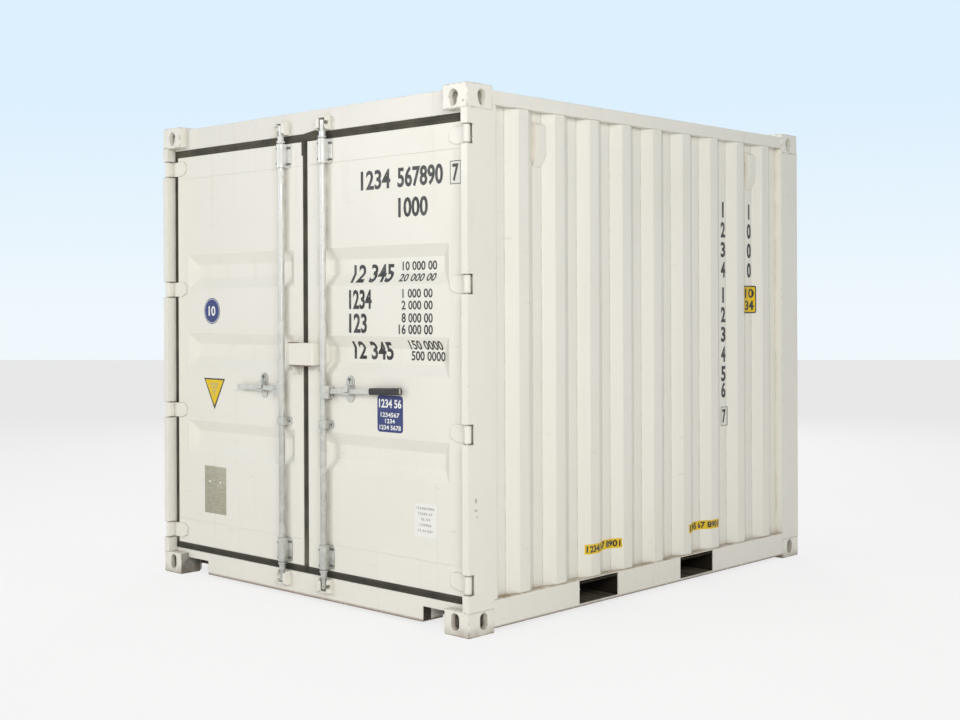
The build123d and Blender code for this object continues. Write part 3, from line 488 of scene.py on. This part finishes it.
hinge_rust = [
    line_at_height(middle + sign * hinge_cut_half, 0.0045, "y", post_end - 0.01, post_end + 0.045)
    for middle in hinge_heights
    for sign in (-1, 1)
]
zinc = zinc_coat()
rubber = gasket_rubber()
plain_paint = white_paint("plain_paint", chips=0.10)
wall_paint = white_paint("wall_paint", chips=0.10, grime_lines=[wave_creases])
door_paint = white_paint("door_paint", chips=0.25)
post_paint = white_paint(
    "post_paint",
    chips=0.30,
    rust_lines=hinge_rust + [spot("y", -1.445, 0.008, 0.638, 0.020)],
    grime_lines=[spot("y", -1.445, 0.020, 0.592, 0.009), spot("y", -1.437, 0.010, 0.562, 0.010)],
)
casting_paint = white_paint(
    "casting_paint",
    chips=0.95,
    # Painted shadow on the bottom castings' inner faces
    painted_shadow_places=[inner_faces],
    foot=0.06,
    wear=0.006,
    corners=(0.10, 0.50, 0.50),
)
top_casting_paint = white_paint(
    "top_casting_paint",
    chips=0.95,
    rust_lines=[spot("x", 1.193, 0.008, 2.505, 0.007)],
    wear=0.006,
    corners=(0.06, 0.08, 0.42),
)
rail_paint = white_paint("rail_paint", chips=0.45)
# Painted shade: the header gets a darker copy of the white paint
header_paint = white_paint("header_paint", chips=0.45, tone=shaded_header_paint_colour)
low_rail_paint = white_paint(
    "low_rail_paint",
    chips=0.45,
    rust_lines=[line_at_height(rail_low.z, 0.014)],
    grime_lines=[line_at_height(rail_high.z, 0.010)],
)
sill_paint = white_paint("sill_paint", chips=0.6, rust_lines=[line_at_height(sill_low, 0.019)])
box_paint = white_paint(
    "box_paint",
    chips=0.9,
    rust_lines=[
        line_at_height(box_low.z, 0.006),
        line_at_height(box_high.z, 0.005, "x", box_low.x - 0.05, box_low.x + 0.09),
    ],
)
hinge_paint = white_paint("hinge_paint", chips=0.6)
underside_paint = white_paint("underside_paint", chips=0.3, tone=underside_colour)
finishes = {
    "painted_steel": plain_paint,
    "galvanised_steel": zinc,
    "gasket_rubber": rubber,
    "plywood": plywood(),
    "grip_plastic": grip_plastic(),
}
own_paint = {
    "right_side_wall": wall_paint,
    "left_side_wall": wall_paint,
    "door_posts": post_paint,
    "closed_end_posts": rail_paint,
    "door_header": header_paint,
    "door_sill": sill_paint,
    "top_side_rails": rail_paint,
    "bottom_side_rails": low_rail_paint,
    "closed_end_rails": rail_paint,
    "right_door_leaf": door_paint,
    "left_door_leaf": door_paint,
    "lock_box": box_paint,
    "padlock_lug": box_paint,
    "hinge_pins": hinge_paint,
    "right_hinge_blades": hinge_paint,
    "left_hinge_blades": hinge_paint,
    "cross_members": underside_paint,
    "fork_pockets": pocket_shade_and_dust(),
}
slot_of = {row["node"]: row["material_slot"] for row in frame["record"]["subparts"]}
for node_name, node in nodes.items():
    finish = own_paint.get(node_name, finishes[slot_of[node_name]])
    if node_name.startswith("casting"):
        finish = top_casting_paint if node_name.endswith("top") else casting_paint
    node.data.materials.clear()
    node.data.materials.append(finish)


# Piece making
def take(name):
    """The piece just added, named, with its size and place put into its mesh."""
    bpy.ops.object.transform_apply(location=True, rotation=True, scale=True)
    piece = bpy.context.active_object
    piece.name = name
    piece.data.name = name
    return piece


def nothing_selected():
    bpy.ops.object.select_all(action="DESELECT")


def only(piece):
    """Make one piece the selected and active one."""
    nothing_selected()
    piece.select_set(True)
    bpy.context.view_layer.objects.active = piece


def object_mode():
    bpy.ops.object.mode_set(mode="OBJECT")


def edit_all():
    """Go into edit mode on the active piece with all of it selected."""
    bpy.ops.object.mode_set(mode="EDIT")
    bpy.ops.mesh.select_all(action="SELECT")


def edit_some(piece, kind, wanted):
    """Go into edit mode with only the wanted edges or faces selected."""
    bpy.ops.object.mode_set(mode="EDIT")
    bpy.ops.mesh.select_mode(type=kind)
    bpy.ops.mesh.select_all(action="DESELECT")
    mesh = bmesh.from_edit_mesh(piece.data)
    for part in mesh.edges if kind == "EDGE" else mesh.faces:
        part.select_set(wanted(part))
    bmesh.update_edit_mesh(piece.data)


def edit_rim(piece, height):
    """Go into edit mode with only the edges round a form's top selected."""
    edit_some(piece, "EDGE", lambda edge: all(vert.co.z > height * 0.9 for vert in edge.verts))


def ease(offset, segments, affect="EDGES"):
    """Round the selected edges or corners and leave edit mode."""
    bpy.ops.mesh.bevel(offset=offset, segments=segments, affect=affect)
    object_mode()


def use_modifier(piece, kind, **settings):
    """Add a modifier, set it and apply it."""
    only(piece)
    modifier = piece.modifiers.new(kind.lower(), kind)
    for key, value in settings.items():
        setattr(modifier, key, value)
    bpy.ops.object.modifier_apply(modifier=modifier.name)


def dress(piece, body, material):
    """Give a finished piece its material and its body."""
    piece.data.materials.clear()
    piece.data.materials.append(material)
    only(piece)
    bpy.ops.object.shade_smooth_by_angle(angle=math.radians(35))
    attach(piece, body)
    return piece


def joined(pieces, name):
    """Several pieces made one."""
    nothing_selected()
    for piece in pieces:
        piece.select_set(True)
    bpy.context.view_layer.objects.active = pieces[0]
    bpy.ops.object.join()
    pieces[0].name = name
    pieces[0].data.name = name
    return pieces[0]


def copies(form, matrices, name):
    """One piece made of copies of a form, each with its own mesh. The form is used up."""
    made = []
    for matrix in matrices:
        twin = form.copy()
        twin.data = form.data.copy()
        bpy.context.scene.collection.objects.link(twin)
        twin.data.transform(matrix)
        made.append(twin)
    bpy.data.objects.remove(form)
    return joined(made, name)


def facing(place, normal):
    """Where a form that stands on the XY plane goes, to stand on a surface with this normal."""
    return Matrix.Translation(place) @ Vector(normal).to_track_quat("Z", "Y").to_matrix().to_4x4()


def on_door(across, front, height):
    """Where a form that stands on the XY plane goes, to stand on a face that looks as the doors do."""
    return facing((across, front, height), (0, -1, 0))


def drum(name, sides, radius, height):
    """A round form about the Z axis with its foot on the XY plane, still to be shaped."""
    nothing_selected()
    bpy.ops.mesh.primitive_cylinder_add(
        vertices=sides, radius=radius, depth=height, location=(0, 0, height / 2)
    )
    return take(name)


def domed_head(radius, height, sides=16):
    """A rivet head that stands on the XY plane."""
    head = drum("domed_head", sides, radius, height)
    edit_rim(head, height)
    ease(height * 0.62, 3)
    return head


def bolt_head(radius, height):
    """A six-sided head on a washer, standing on the XY plane."""
    washer_height = height * 0.3
    washer = drum("washer", 20, radius * 1.35, washer_height)
    edit_rim(washer, washer_height)
    ease(washer_height * 0.4, 1)
    head = drum("bolt_head", 6, radius, height)
    edit_rim(head, height)
    ease(height * 0.18, 2)
    return joined([head, washer], "bolt_head")


def collar(name, radius, height, sides=32):
    """A collar about the Z axis with eased edges, its foot on the XY plane."""
    made = drum(name, sides, radius, height)
    edit_some(
        made, "EDGE", lambda edge: abs(edge.verts[0].co.z - edge.verts[1].co.z) < height * 0.1
    )
    ease(height * 0.25, 2)
    return made


def rounded_block(name, low, high, rounding):
    """A block between two corners with all its edges eased."""
    nothing_selected()
    size = [b - a for a, b in zip(low, high)]
    middle = [(a + b) / 2 for a, b in zip(low, high)]
    bpy.ops.mesh.primitive_cube_add(size=1, location=middle, scale=size)
    made = take(name)
    edit_some(made, "EDGE", lambda edge: True)
    ease(rounding, 2)
    return made


def bead(name, start, end, radius):
    """A weld bead from one point to another, with the ripples of the run."""
    start, end = Vector(start), Vector(end)
    run = (end - start).length
    step_length, fewest_steps, most_steps = 0.008, 3, 61
    steps = max(fewest_steps, min(most_steps, int(run / step_length)))
    made = drum(name, 8, radius, run)
    edit_some(made, "EDGE", lambda edge: abs(edge.verts[0].co.z - edge.verts[1].co.z) > run * 0.5)
    bpy.ops.mesh.subdivide(number_cuts=steps - 1)
    for swell, wanted in (
        (1.24, lambda step: step % 2 == 1),
        (0.88, lambda step: step % 4 == 2),
        (1.12, lambda step: step % 5 == 3),
        (0.5, lambda step: step in (0, steps)),
    ):
        edit_some(
            made,
            "EDGE",
            lambda edge: all(wanted(round(vert.co.z / run * steps)) for vert in edge.verts),
        )
        bpy.ops.transform.resize(value=(swell, swell, 1))
    object_mode()
    made.data.transform(facing(start, end - start))
    return made


# Films and ink that lie on the doors and the side wall
film_lifts = (0.0003, 0.0008, 0.0013)
film_thickness = 0.0003
door_creases = [
    ((0, 0, middle + side * fold), (0, 0, 1))
    for middle in press_middles
    for side in (-1, 1)
    for fold in press_folds
]
wall_creases = [
    ((0, middle + side * fold, 0), (0, 1, 0))
    for middle in wave_middles
    for side in (-1, 1)
    for fold in (wave_hollow, wave_fold)
]
door_sheet = Matrix(((1, 0, 0, 0), (0, 0, 0, post_end - 0.1), (0, 1, 0, 0), (0, 0, 0, 1)))
wall_sheet = Matrix(((0, 0, 0, wall_out + 0.1), (1, 0, 0, 0), (0, 1, 0, 0), (0, 0, 0, 1)))
to_door = {"use_positive_direction": True, "use_negative_direction": False, "use_project_y": True}
to_wall = {"use_positive_direction": False, "use_negative_direction": True, "use_project_x": True}
carriers = {
    "right_door": ("right_door_leaf", door_sheet, door_creases, to_door),
    "left_door": ("left_door_leaf", door_sheet, door_creases, to_door),
    "container_body": ("right_side_wall", wall_sheet, wall_creases, to_wall),
}


def lay(piece, body, material, layer=0):
    """Lay a flat drawing on its door or wall, following every crease, and give it its thickness."""
    node_name, sheet, creases, way = carriers[body]
    piece.data.transform(sheet)
    only(piece)
    corners = [vert.co.copy() for vert in piece.data.vertices]
    for place, normal in creases:
        past = [(corner - Vector(place)).dot(Vector(normal)) for corner in corners]
        if min(past) < 0 < max(past):
            edit_all()
            bpy.ops.mesh.bisect(plane_co=place, plane_no=normal)
            object_mode()
    use_modifier(
        piece,
        "SHRINKWRAP",
        target=nodes[node_name],
        wrap_method="PROJECT",
        offset=film_lifts[layer],
        **way,
    )
    use_modifier(piece, "SOLIDIFY", thickness=film_thickness, offset=1.0)
    return dress(piece, body, material)


def number(text, left, right, base, top, weight):
    """Digits drawn to fill a box, flat on the XY plane.

    Weight is the share of the box's height that is added all round each stroke.
    """
    nothing_selected()
    bpy.ops.object.text_add()
    bpy.context.active_object.data.body = text
    bpy.ops.object.convert(target="CURVE")
    digits = bpy.context.active_object
    bpy.context.view_layer.update()
    low, high = Vector(digits.bound_box[0]), Vector(digits.bound_box[6])
    grow = weight * (top - base)
    wide = (right - left - 2 * grow) / (high.x - low.x)
    tall = (top - base - 2 * grow) / (high.y - low.y)
    shift = Matrix.Translation((left + grow - low.x * wide, base + grow - low.y * tall, 0))
    digits.data.transform(shift @ Matrix.Diagonal((wide, tall, 1, 1)))
    digits.data.resolution_u = 3
    digits.data.offset = grow
    bpy.ops.object.convert(target="MESH")
    return take("number")


def numbers(name, rows, body, material, layer=0, weight=0.034):
    """Rows of digits, each given as its text, left, right, base and top, made one piece."""
    return lay(joined([number(*row, weight) for row in rows], name), body, material, layer)


def column(digits, tops, left, right):
    """Rows of single digits one above another, the narrow 1 set in from both sides."""
    tall, set_in = 0.090, 0.014
    rows = []
    for digit, top in zip(digits, tops):
        inset = set_in if digit == "1" else 0
        rows.append((digit, left + inset, right - inset, top - tall, top))
    return rows


def keep_border(piece, width):
    """Cut the middle out of a flat piece, so that a border of this width stays."""
    edit_some(piece, "FACE", lambda face: True)
    bpy.ops.mesh.inset(thickness=width)
    bpy.ops.mesh.delete(type="FACE")
    object_mode()


def panel(name, left, right, base, top, corner=0.0, border=0.0):
    """A flat panel with rounded corners. With border it is a frame of that width."""
    nothing_selected()
    middle = ((left + right) / 2, (base + top) / 2, 0)
    bpy.ops.mesh.primitive_plane_add(size=1, location=middle)
    bpy.context.active_object.scale = (right - left, top - base, 1)
    made = take(name)
    if corner:
        edit_all()
        ease(corner, 5, "VERTICES")
    if border:
        keep_border(made, border)
    return made


def disc(name, centre, radius, border=0.0):
    """A flat disc. With border it is a ring of that width."""
    nothing_selected()
    bpy.ops.mesh.primitive_circle_add(
        vertices=48, radius=radius, fill_type="NGON", location=(*centre, 0)
    )
    made = take(name)
    if border:
        keep_border(made, border)
    return made


def pennant(name, left, right, base, top, corner):
    """A flat triangle with its point down and its corners rounded."""
    nothing_selected()
    across, up = (right - left) / math.sqrt(3), (top - base) / 1.5
    middle = ((left + right) / 2, base + up, 0)
    bpy.ops.mesh.primitive_circle_add(
        vertices=3, radius=1, fill_type="NGON", location=middle, rotation=(0, 0, math.pi)
    )
    bpy.context.active_object.scale = (across, up, 1)
    made = take(name)
    edit_all()
    ease(corner, 3, "VERTICES")
    return made


ink = film("black_ink", ink_colour, fade=0.35)
yellow_film = film("yellow_film", yellow_colour, fade=0.02)
blue_film = film("blue_film", blue_colour, fade=0.10)
white_film = film("white_film", white_film_colour, fade=0.05)
grey_ink = film("grey_ink", grey_ink_colour, fade=0.3)

# Numbers on the right door
numbers(
    "right_door_numbers",
    [
        ("1234", 0.434, 0.650, 2.132, 2.230),
        ("567890", 0.700, 1.012, 2.132, 2.230),
        ("7", 1.074, 1.114, 2.140, 2.222),
        ("1000", 0.705, 0.910, 1.984, 2.082),
        ("12 345", 0.344, 0.642, 1.667, 1.760),
        ("1234", 0.342, 0.511, 1.533, 1.632),
        ("123", 0.342, 0.475, 1.412, 1.512),
        ("12 345", 0.344, 0.632, 1.279, 1.371),
    ],
    "right_door",
    ink,
)
numbers(
    "right_door_small_numbers",
    [
        ("10 000 00", 0.698, 0.936, 1.724, 1.769),
        ("20 000 00", 0.694, 0.944, 1.669, 1.708),
        ("1 000 00", 0.732, 0.940, 1.589, 1.633),
        ("2 000 00", 0.726, 0.940, 1.531, 1.575),
        ("8 000 00", 0.726, 0.940, 1.467, 1.514),
        ("16 000 00", 0.705, 0.940, 1.410, 1.458),
        ("150 0000", 0.756, 0.982, 1.335, 1.381),
        ("500 0000", 0.759, 0.990, 1.281, 1.328),
    ],
    "right_door",
    ink,
    weight=0.026,
)
lay(panel("check_number_frame", 1.059, 1.129, 2.125, 2.236, border=0.0035), "right_door", ink)

# Numbers down the right side wall, and the yellow strips and plate on it
upper_tops = (2.146, 2.030, 1.914, 1.798)
lower_tops = (1.650, 1.537, 1.422, 1.307, 1.193, 1.098)
numbers(
    "side_numbers",
    column("1234", upper_tops, 0.706, 0.752)
    + column("123456", lower_tops, 0.706, 0.752)
    + [("7", 0.716, 0.750, 0.862, 0.942)]
    + column("1000", upper_tops, 0.988, 1.032),
    "container_body",
    ink,
    weight=0.044,
)
lay(panel("side_check_frame", 0.702, 0.764, 0.846, 0.956, border=0.0035), "container_body", ink)

for place, (left, right) in (("door_end", (-0.599, -0.297)), ("closed_end", (0.318, 0.620))):
    lay(panel(f"yellow_strip_{place}", left, right, 0.272, 0.322), "container_body", yellow_film)
    numbers(
        f"strip_numbers_{place}",
        [("12345 67 8901", left + 0.009, right - 0.008, 0.280, 0.315)],
        "container_body",
        ink,
        layer=1,
        weight=0.05,
    )
lay(panel("height_plate_edge", 0.908, 1.064, 1.498, 1.662, corner=0.010), "container_body", ink)
lay(
    panel("height_plate", 0.915, 1.057, 1.506, 1.654, corner=0.006),
    "container_body",
    yellow_film,
    layer=1,
)
numbers(
    "height_plate_numbers",
    [("10", 0.965, 1.050, 1.588, 1.645), ("34", 0.965, 1.050, 1.516, 1.573)],
    "container_body",
    ink,
    layer=2,
)

# Labels on the doors
disc_centre = (-0.820, 1.525)
lay(disc("blue_disc", disc_centre, 0.074), "left_door", blue_film)
lay(disc("blue_disc_ring", disc_centre, 0.069, border=0.003), "left_door", white_film, layer=1)
numbers("blue_disc_number", [("10", -0.852, -0.788, 1.497, 1.553)], "left_door", white_film, layer=1)
lay(pennant("yellow_pennant_edge", -0.898, -0.702, 0.966, 1.142, 0.004), "left_door", ink)
lay(
    pennant("yellow_pennant", -0.884, -0.716, 0.988, 1.134, 0.003),
    "left_door",
    yellow_film,
    layer=1,
)
numbers(
    "yellow_pennant_numbers",
    [
        ("12345", -0.838, -0.762, 1.104, 1.116),
        ("1234", -0.828, -0.772, 1.085, 1.097),
        ("123", -0.818, -0.782, 1.066, 1.078),
        ("12", -0.812, -0.788, 1.047, 1.059),
    ],
    "left_door",
    grey_ink,
    layer=2,
)
lay(panel("blue_panel", 0.550, 0.733, 0.922, 1.105, corner=0.018), "right_door", blue_film)
numbers(
    "blue_panel_numbers",
    [
        ("1234 56", 0.562, 0.722, 1.043, 1.086),
        ("1234567", 0.574, 0.708, 0.997, 1.020),
        ("1234", 0.606, 0.676, 0.967, 0.989),
        ("1234 5678", 0.566, 0.718, 0.934, 0.957),
    ],
    "right_door",
    white_film,
    layer=1,
)
lay(panel("white_sticker", 0.812, 0.962, 0.428, 0.592), "right_door", white_film)
numbers(
    "white_sticker_numbers",
    [
        ("1234567890", 0.826, 0.946, 0.562, 0.574),
        ("12345 67", 0.838, 0.934, 0.536, 0.548),
        ("12 34", 0.856, 0.916, 0.510, 0.522),
        ("123456", 0.846, 0.926, 0.482, 0.494),
        ("12 34 567", 0.836, 0.936, 0.454, 0.466),
    ],
    "right_door",
    grey_ink,
    layer=1,
)

# Data plate on the left door, with two rivets
plate_front = door_face - 0.0018
plate_back = door_face - 0.0002
data_plate = rounded_block(
    "data_plate", (-0.893, plate_front, 0.373), (-0.695, plate_back, 0.640), 0.0006
)
dress(data_plate, "left_door", ruled_plate())
plate_rivets = copies(
    domed_head(0.0065, 0.003),
    [on_door(across, plate_front, 0.553) for across in (-0.842, -0.745)],
    "data_plate_rivets",
)
bright_rivet = film("bright_rivet", bright_rivet_colour, fade=0.1, roughness=0.3)
dress(plate_rivets, "left_door", bright_rivet)

# Bolts, pins and bosses on the bar brackets, collars on the bars and heads on the hub pins
dark_steel = film("dark_steel", dark_steel_colour, fade=0.3, roughness=0.38)
for side, sign in both_sides:
    middle = sign * bar_x
    bolt_places = [
        on_door(middle + out, flange_face, height)
        for low, high in bracket_spans
        for height in (low + 0.018, high - 0.021)
        for out in (0.0325, 0.0475)
    ]
    bolt_places += [on_door(middle + out, flange_face, guide_middle) for out in (-0.035, 0.040)]
    bolts = copies(bolt_head(0.0052, 0.004), bolt_places, f"{side}_bracket_bolts")
    dress(bolts, f"{side}_door", dark_steel)
    pin_places = [
        facing(Vector((middle, bar_y, height)) + sleeve_normal * sleeve_radius, sleeve_normal)
        for low, high in bracket_spans
        for height in (low + 0.020, high - 0.024)
    ]
    pins = copies(domed_head(0.005, 0.003, 12), pin_places, f"{side}_sleeve_pins")
    dress(pins, f"{side}_door", dark_steel)
    bosses = copies(
        collar("flange_boss", 0.008, 0.0012, 24),
        [on_door(middle + 0.040, flange_face, (low + high) / 2) for low, high in bracket_spans],
        f"{side}_flange_bosses",
    )
    dress(bosses, f"{side}_door", zinc)
    collar_feet = (bracket_top + 0.006, bracket_bottom - 0.018)
    collars = copies(
        collar("bar_collar", 0.0225, 0.012),
        [Matrix.Translation((middle, bar_y, height)) for height in collar_feet],
        f"{side}_bar_collars",
    )
    dress(collars, f"{side}_bar", zinc)
    hub_x = middle + sign * hub_beside
    heads = copies(
        domed_head(0.0095, 0.005, 20),
        [
            facing((hub_x, bar_y + way * hub_half, hub_pin_height), (0, way, 0))
            for way in (-1, 1)
        ],
        f"{side}_hub_pin_heads",
    )
    dress(heads, f"{side}_bar", zinc)

for side, across, height in catch_pivots:
    head = copies(
        domed_head(0.0095, 0.004, 20), [on_door(across, catch_face, height)], f"{side}_catch_rivet"
    )
    dress(head, f"{side}_catch", dark_steel)

# Lips moulded into the door gaskets
lip_near, lip_far = 0.0125, 1.161
lip_foot, lip_head = 0.158, 2.439
lip_radius = 0.0028
for side, sign in both_sides:
    nothing_selected()
    bpy.ops.mesh.primitive_plane_add(size=1)
    bpy.context.active_object.scale = (lip_far - lip_near, lip_head - lip_foot, 1)
    lip = take(f"{side}_gasket_lip")
    bpy.ops.object.mode_set(mode="EDIT")
    bpy.ops.mesh.delete(type="ONLY_FACE")
    object_mode()
    bpy.ops.object.convert(target="CURVE")
    lip.data.bevel_depth = lip_radius
    lip.data.bevel_resolution = 2
    bpy.ops.object.convert(target="MESH")
    lip_x, lip_z = sign * (lip_near + lip_far) / 2, (lip_foot + lip_head) / 2
    upright = Matrix(((1, 0, 0, lip_x), (0, 0, -1, door_face + 0.003), (0, 1, 0, lip_z), (0, 0, 0, 1)))
    lip.data.transform(upright)
    dress(lip, f"{side}_door", rubber)

# Weld beads round the castings and the seams in the door sheets
casting_bead = 0.0025
front_run, side_run, back_run = 0.042, 0.178, 0.09
welds = []
for across in (-1, 1):
    for height in (lower_casting_top, upper_casting_foot):
        corner = across * post_side
        front, back = (corner, post_end, height), (corner, -post_end, height)
        welds += [
            bead("weld", start, end, casting_bead)
            for start, end in (
                ((corner - across * front_run, post_end, height), front),
                (front, (corner, post_end + side_run, height)),
                ((corner, -post_end - side_run, height), back),
                ((corner - across * back_run, -post_end, height), back),
            )
        ]
dress(joined(welds, "casting_welds"), "container_body", rail_paint)
seam_near, seam_far = 0.026, 1.140
for side, sign in both_sides:
    seams = [
        bead("seam", (sign * seam_near, door_face, height), (sign * seam_far, door_face, height), 0.0012)
        for height in (0.316, 2.292)
    ]
    dress(joined(seams, f"{side}_door_seams"), f"{side}_door", door_paint)

# Rust along the lock box's top edge, and rust with a painted shadow along its bottom edge
rust_and_shadow_line = film("rust_and_shadow_line", rust_and_shadow_colour, fade=0.3, roughness=0.7)
box_joints = [
    bead("joint", (left, front, height), (right, front, height), 0.0032)
    for left, right, front, height in (
        (box_low.x - 0.004, box_low.x + 0.088, box_low.y + 0.006, box_high.z),
        # Along the bottom edge: rust with painted shadow beneath the box
        (box_low.x + 0.010, box_high.x - 0.012, box_low.y + 0.004, box_low.z),
    )
]
dress(joined(box_joints, "lock_box_joints"), "right_door", rust_and_shadow_line)

# Dark blocks in the open ends of the sill's channel: painted shade
shade_and_joint_film = film("shade_and_joint_film", hollow_shade_and_joint_colour, fade=0.15, roughness=0.8)
sill_step = max(
    vert.co.x for vert in nodes["door_sill"].data.vertices if vert.co.z < sill_low + 0.01
)
for side, sign in both_sides:
    across = sorted((sign * (sill_step - 0.0004), sign * (sill_step + 0.0008)))
    mouth = rounded_block(
        f"{side}_sill_mouth_shade",
        (across[0], door_face + 0.004, sill_low + 0.004),
        (across[1], door_face + 0.056, 0.092),
        0.0003,
    )
    dress(mouth, "container_body", shade_and_joint_film)

# The flap over the header seal, with its far end cut at a slant
flap_far = 0.112
flap_slant = 0.0146
flap = rounded_block(
    "header_seal_flap",
    (-0.002, door_face - 0.0022, header_low - 0.040),
    (flap_far, door_face - 0.0006, header_low + 0.001),
    0.0005,
)
edit_some(
    flap,
    "EDGE",
    lambda edge: all(
        vert.co.z > header_low - 0.01 and vert.co.x > flap_far - 0.012 for vert in edge.verts
    ),
)
bpy.ops.transform.translate(value=(0, 0, flap_slant))
object_mode()
dress(flap, "right_door", rubber)

# Joints between the floor's boards and the screws that hold them to the cross members
joint_half = 0.002
joint_low, joint_high = floor_high.z - 0.0002, floor_high.z + 0.0005
near_end, far_end = floor_low.y + joint_half, floor_high.y - joint_half
left_end, right_end = floor_low.x + joint_half, floor_high.x - joint_half
board_joints = [
    rounded_block("board_joint", (*low, joint_low), (*high, joint_high), 0.0002)
    for low, high in (
        ((-joint_half, near_end), (joint_half, far_end)),
        ((left_end, -0.4675), (right_end, -0.4635)),
        ((left_end, 0.6378), (right_end, 0.6418)),
    )
]
dress(joined(board_joints, "board_joints"), "container_body", shade_and_joint_film)
screw_rows = [y - 0.012 for y in (-1.2585, -0.9421, 0.0070, 0.6398, 0.9561, 1.2725)]
screw_columns = [side * (0.030 + 0.216 * index) for side in (-1, 1) for index in range(6)]
screws = copies(
    domed_head(0.0075, 0.0012, 12),
    [Matrix.Translation((x, y, floor_high.z)) for y in screw_rows for x in screw_columns],
    "floor_screws",
)
dress(screws, "container_body", dark_steel)


# Studio
def studio_floor():
    """A pale floor whose far edge lies where the photograph's does."""
    nothing_selected()
    reach = floor_edge_distance
    bpy.ops.mesh.primitive_plane_add(size=2, rotation=(0, 0, floor_edge_turn))
    bpy.context.active_object.scale = (reach * 1.6, reach, 1)
    floor = take("studio_floor")
    edit_all()
    ease(reach * 0.35, 1, "VERTICES")
    ground = Surface("studio_floor")
    # Painted light: the floor is lighter near the container and greyer far off
    distance = (ground.x * ground.x + ground.y * ground.y) ** 0.5
    colour = ground.blend(ground.ramp(distance, 1.5, 13.0), near_floor_colour, far_floor_colour)
    material = ground.finish(Base_Color=colour, Roughness=0.9)
    glow = ground.node("ShaderNodeEmission", {}, {"Color": colour})
    lit = Field(ground, ground.shader.outputs[0])
    share = ground.seen_or_mirrored() * 0.82
    mixed = ground.node("ShaderNodeMixShader", {}, {0: share, 1: lit, 2: glow})
    ground.tree.links.new(mixed.socket, ground.tree.nodes["Material Output"].inputs["Surface"])
    floor.data.materials.append(material)


def studio_sky():
    """A pale blue sky that is plain white light for the object."""
    world = bpy.data.worlds.new("studio_sky")
    world.use_nodes = True
    bpy.context.scene.world = world
    sky = Shading(world.node_tree)
    world.node_tree.nodes.clear()
    place = sky.node("ShaderNodeTexCoord", {}, {}, "Generated")
    rise = sky.node("ShaderNodeSeparateXYZ", {}, {"Vector": place}, "Z")
    shade = sky.blend(sky.ramp(rise, -0.01, 0.145, "LINEAR"), low_sky_colour, high_sky_colour)
    seen = sky.node("ShaderNodeBackground", {}, {"Color": shade})
    light = sky.node("ShaderNodeBackground", {}, {"Color": (1.0, 0.99, 0.98, 1.0), "Strength": 0.33})
    mixed = sky.node("ShaderNodeMixShader", {}, {0: sky.seen_or_mirrored(), 1: light, 2: seen})
    sky.node("ShaderNodeOutputWorld", {}, {"Surface": mixed}, None)


def soft_lamp(name, place, aim, width, height, watts, colour=(1.0, 0.985, 0.955)):
    """A large area lamp aimed at a point."""
    lamp = bpy.data.lights.new(name, "AREA")
    lamp.shape = "RECTANGLE"
    lamp.size = width
    lamp.size_y = height
    lamp.energy = watts
    lamp.color = colour
    holder = bpy.data.objects.new(name, lamp)
    bpy.context.scene.collection.objects.link(holder)
    holder.location = place
    holder.rotation_euler = (Vector(aim) - Vector(place)).to_track_quat("-Z", "Y").to_euler()


def studio_camera():
    """The camera on the spot and with the framing that the photograph has."""
    lens = bpy.data.cameras.new("camera")
    lens.sensor_width = sensor_width
    lens.lens = focal_pixels * sensor_width / photo_width
    lens.shift_x = (photo_width / 2 - centre_pixel[0]) / photo_width
    lens.shift_y = (centre_pixel[1] - photo_height / 2) / photo_width
    camera = bpy.data.objects.new("camera", lens)
    bpy.context.scene.collection.objects.link(camera)
    back = Vector((
        math.sin(camera_turn) * math.cos(camera_rise),
        -math.cos(camera_turn) * math.cos(camera_rise),
        math.sin(camera_rise),
    ))
    right = Vector((math.cos(camera_turn), math.sin(camera_turn), 0))
    up = back.cross(right)
    rolled_right = right * math.cos(camera_roll) + up * math.sin(camera_roll)
    rolled_up = up * math.cos(camera_roll) - right * math.sin(camera_roll)
    turned = Matrix((rolled_right, rolled_up, back)).transposed().to_4x4()
    camera.matrix_world = Matrix.Translation(camera_place) @ turned
    bpy.context.scene.camera = camera


studio_floor()
studio_sky()
soft_lamp("door_lamp", (-4.4, -8.0, 4.1), (-0.1, -1.45, 1.4), 2.4, 2.4, 170, (1.0, 0.988, 0.985))
soft_lamp("side_lamp", (7.0, -6.1, 4.2), (1.2, -0.3, 1.2), 3.6, 3.0, 349)
soft_lamp("back_lamp", (-6.2, 7.4, 4.3), (0.0, 0.6, 1.3), 3.4, 3.0, 330)
soft_lamp("roof_lamp", (0.0, 0.0, 7.6), (0.0, 0.0, 2.6), 2.2, 2.6, 85)
studio_camera()
bpy.context.scene.view_settings.view_transform = "Standard"
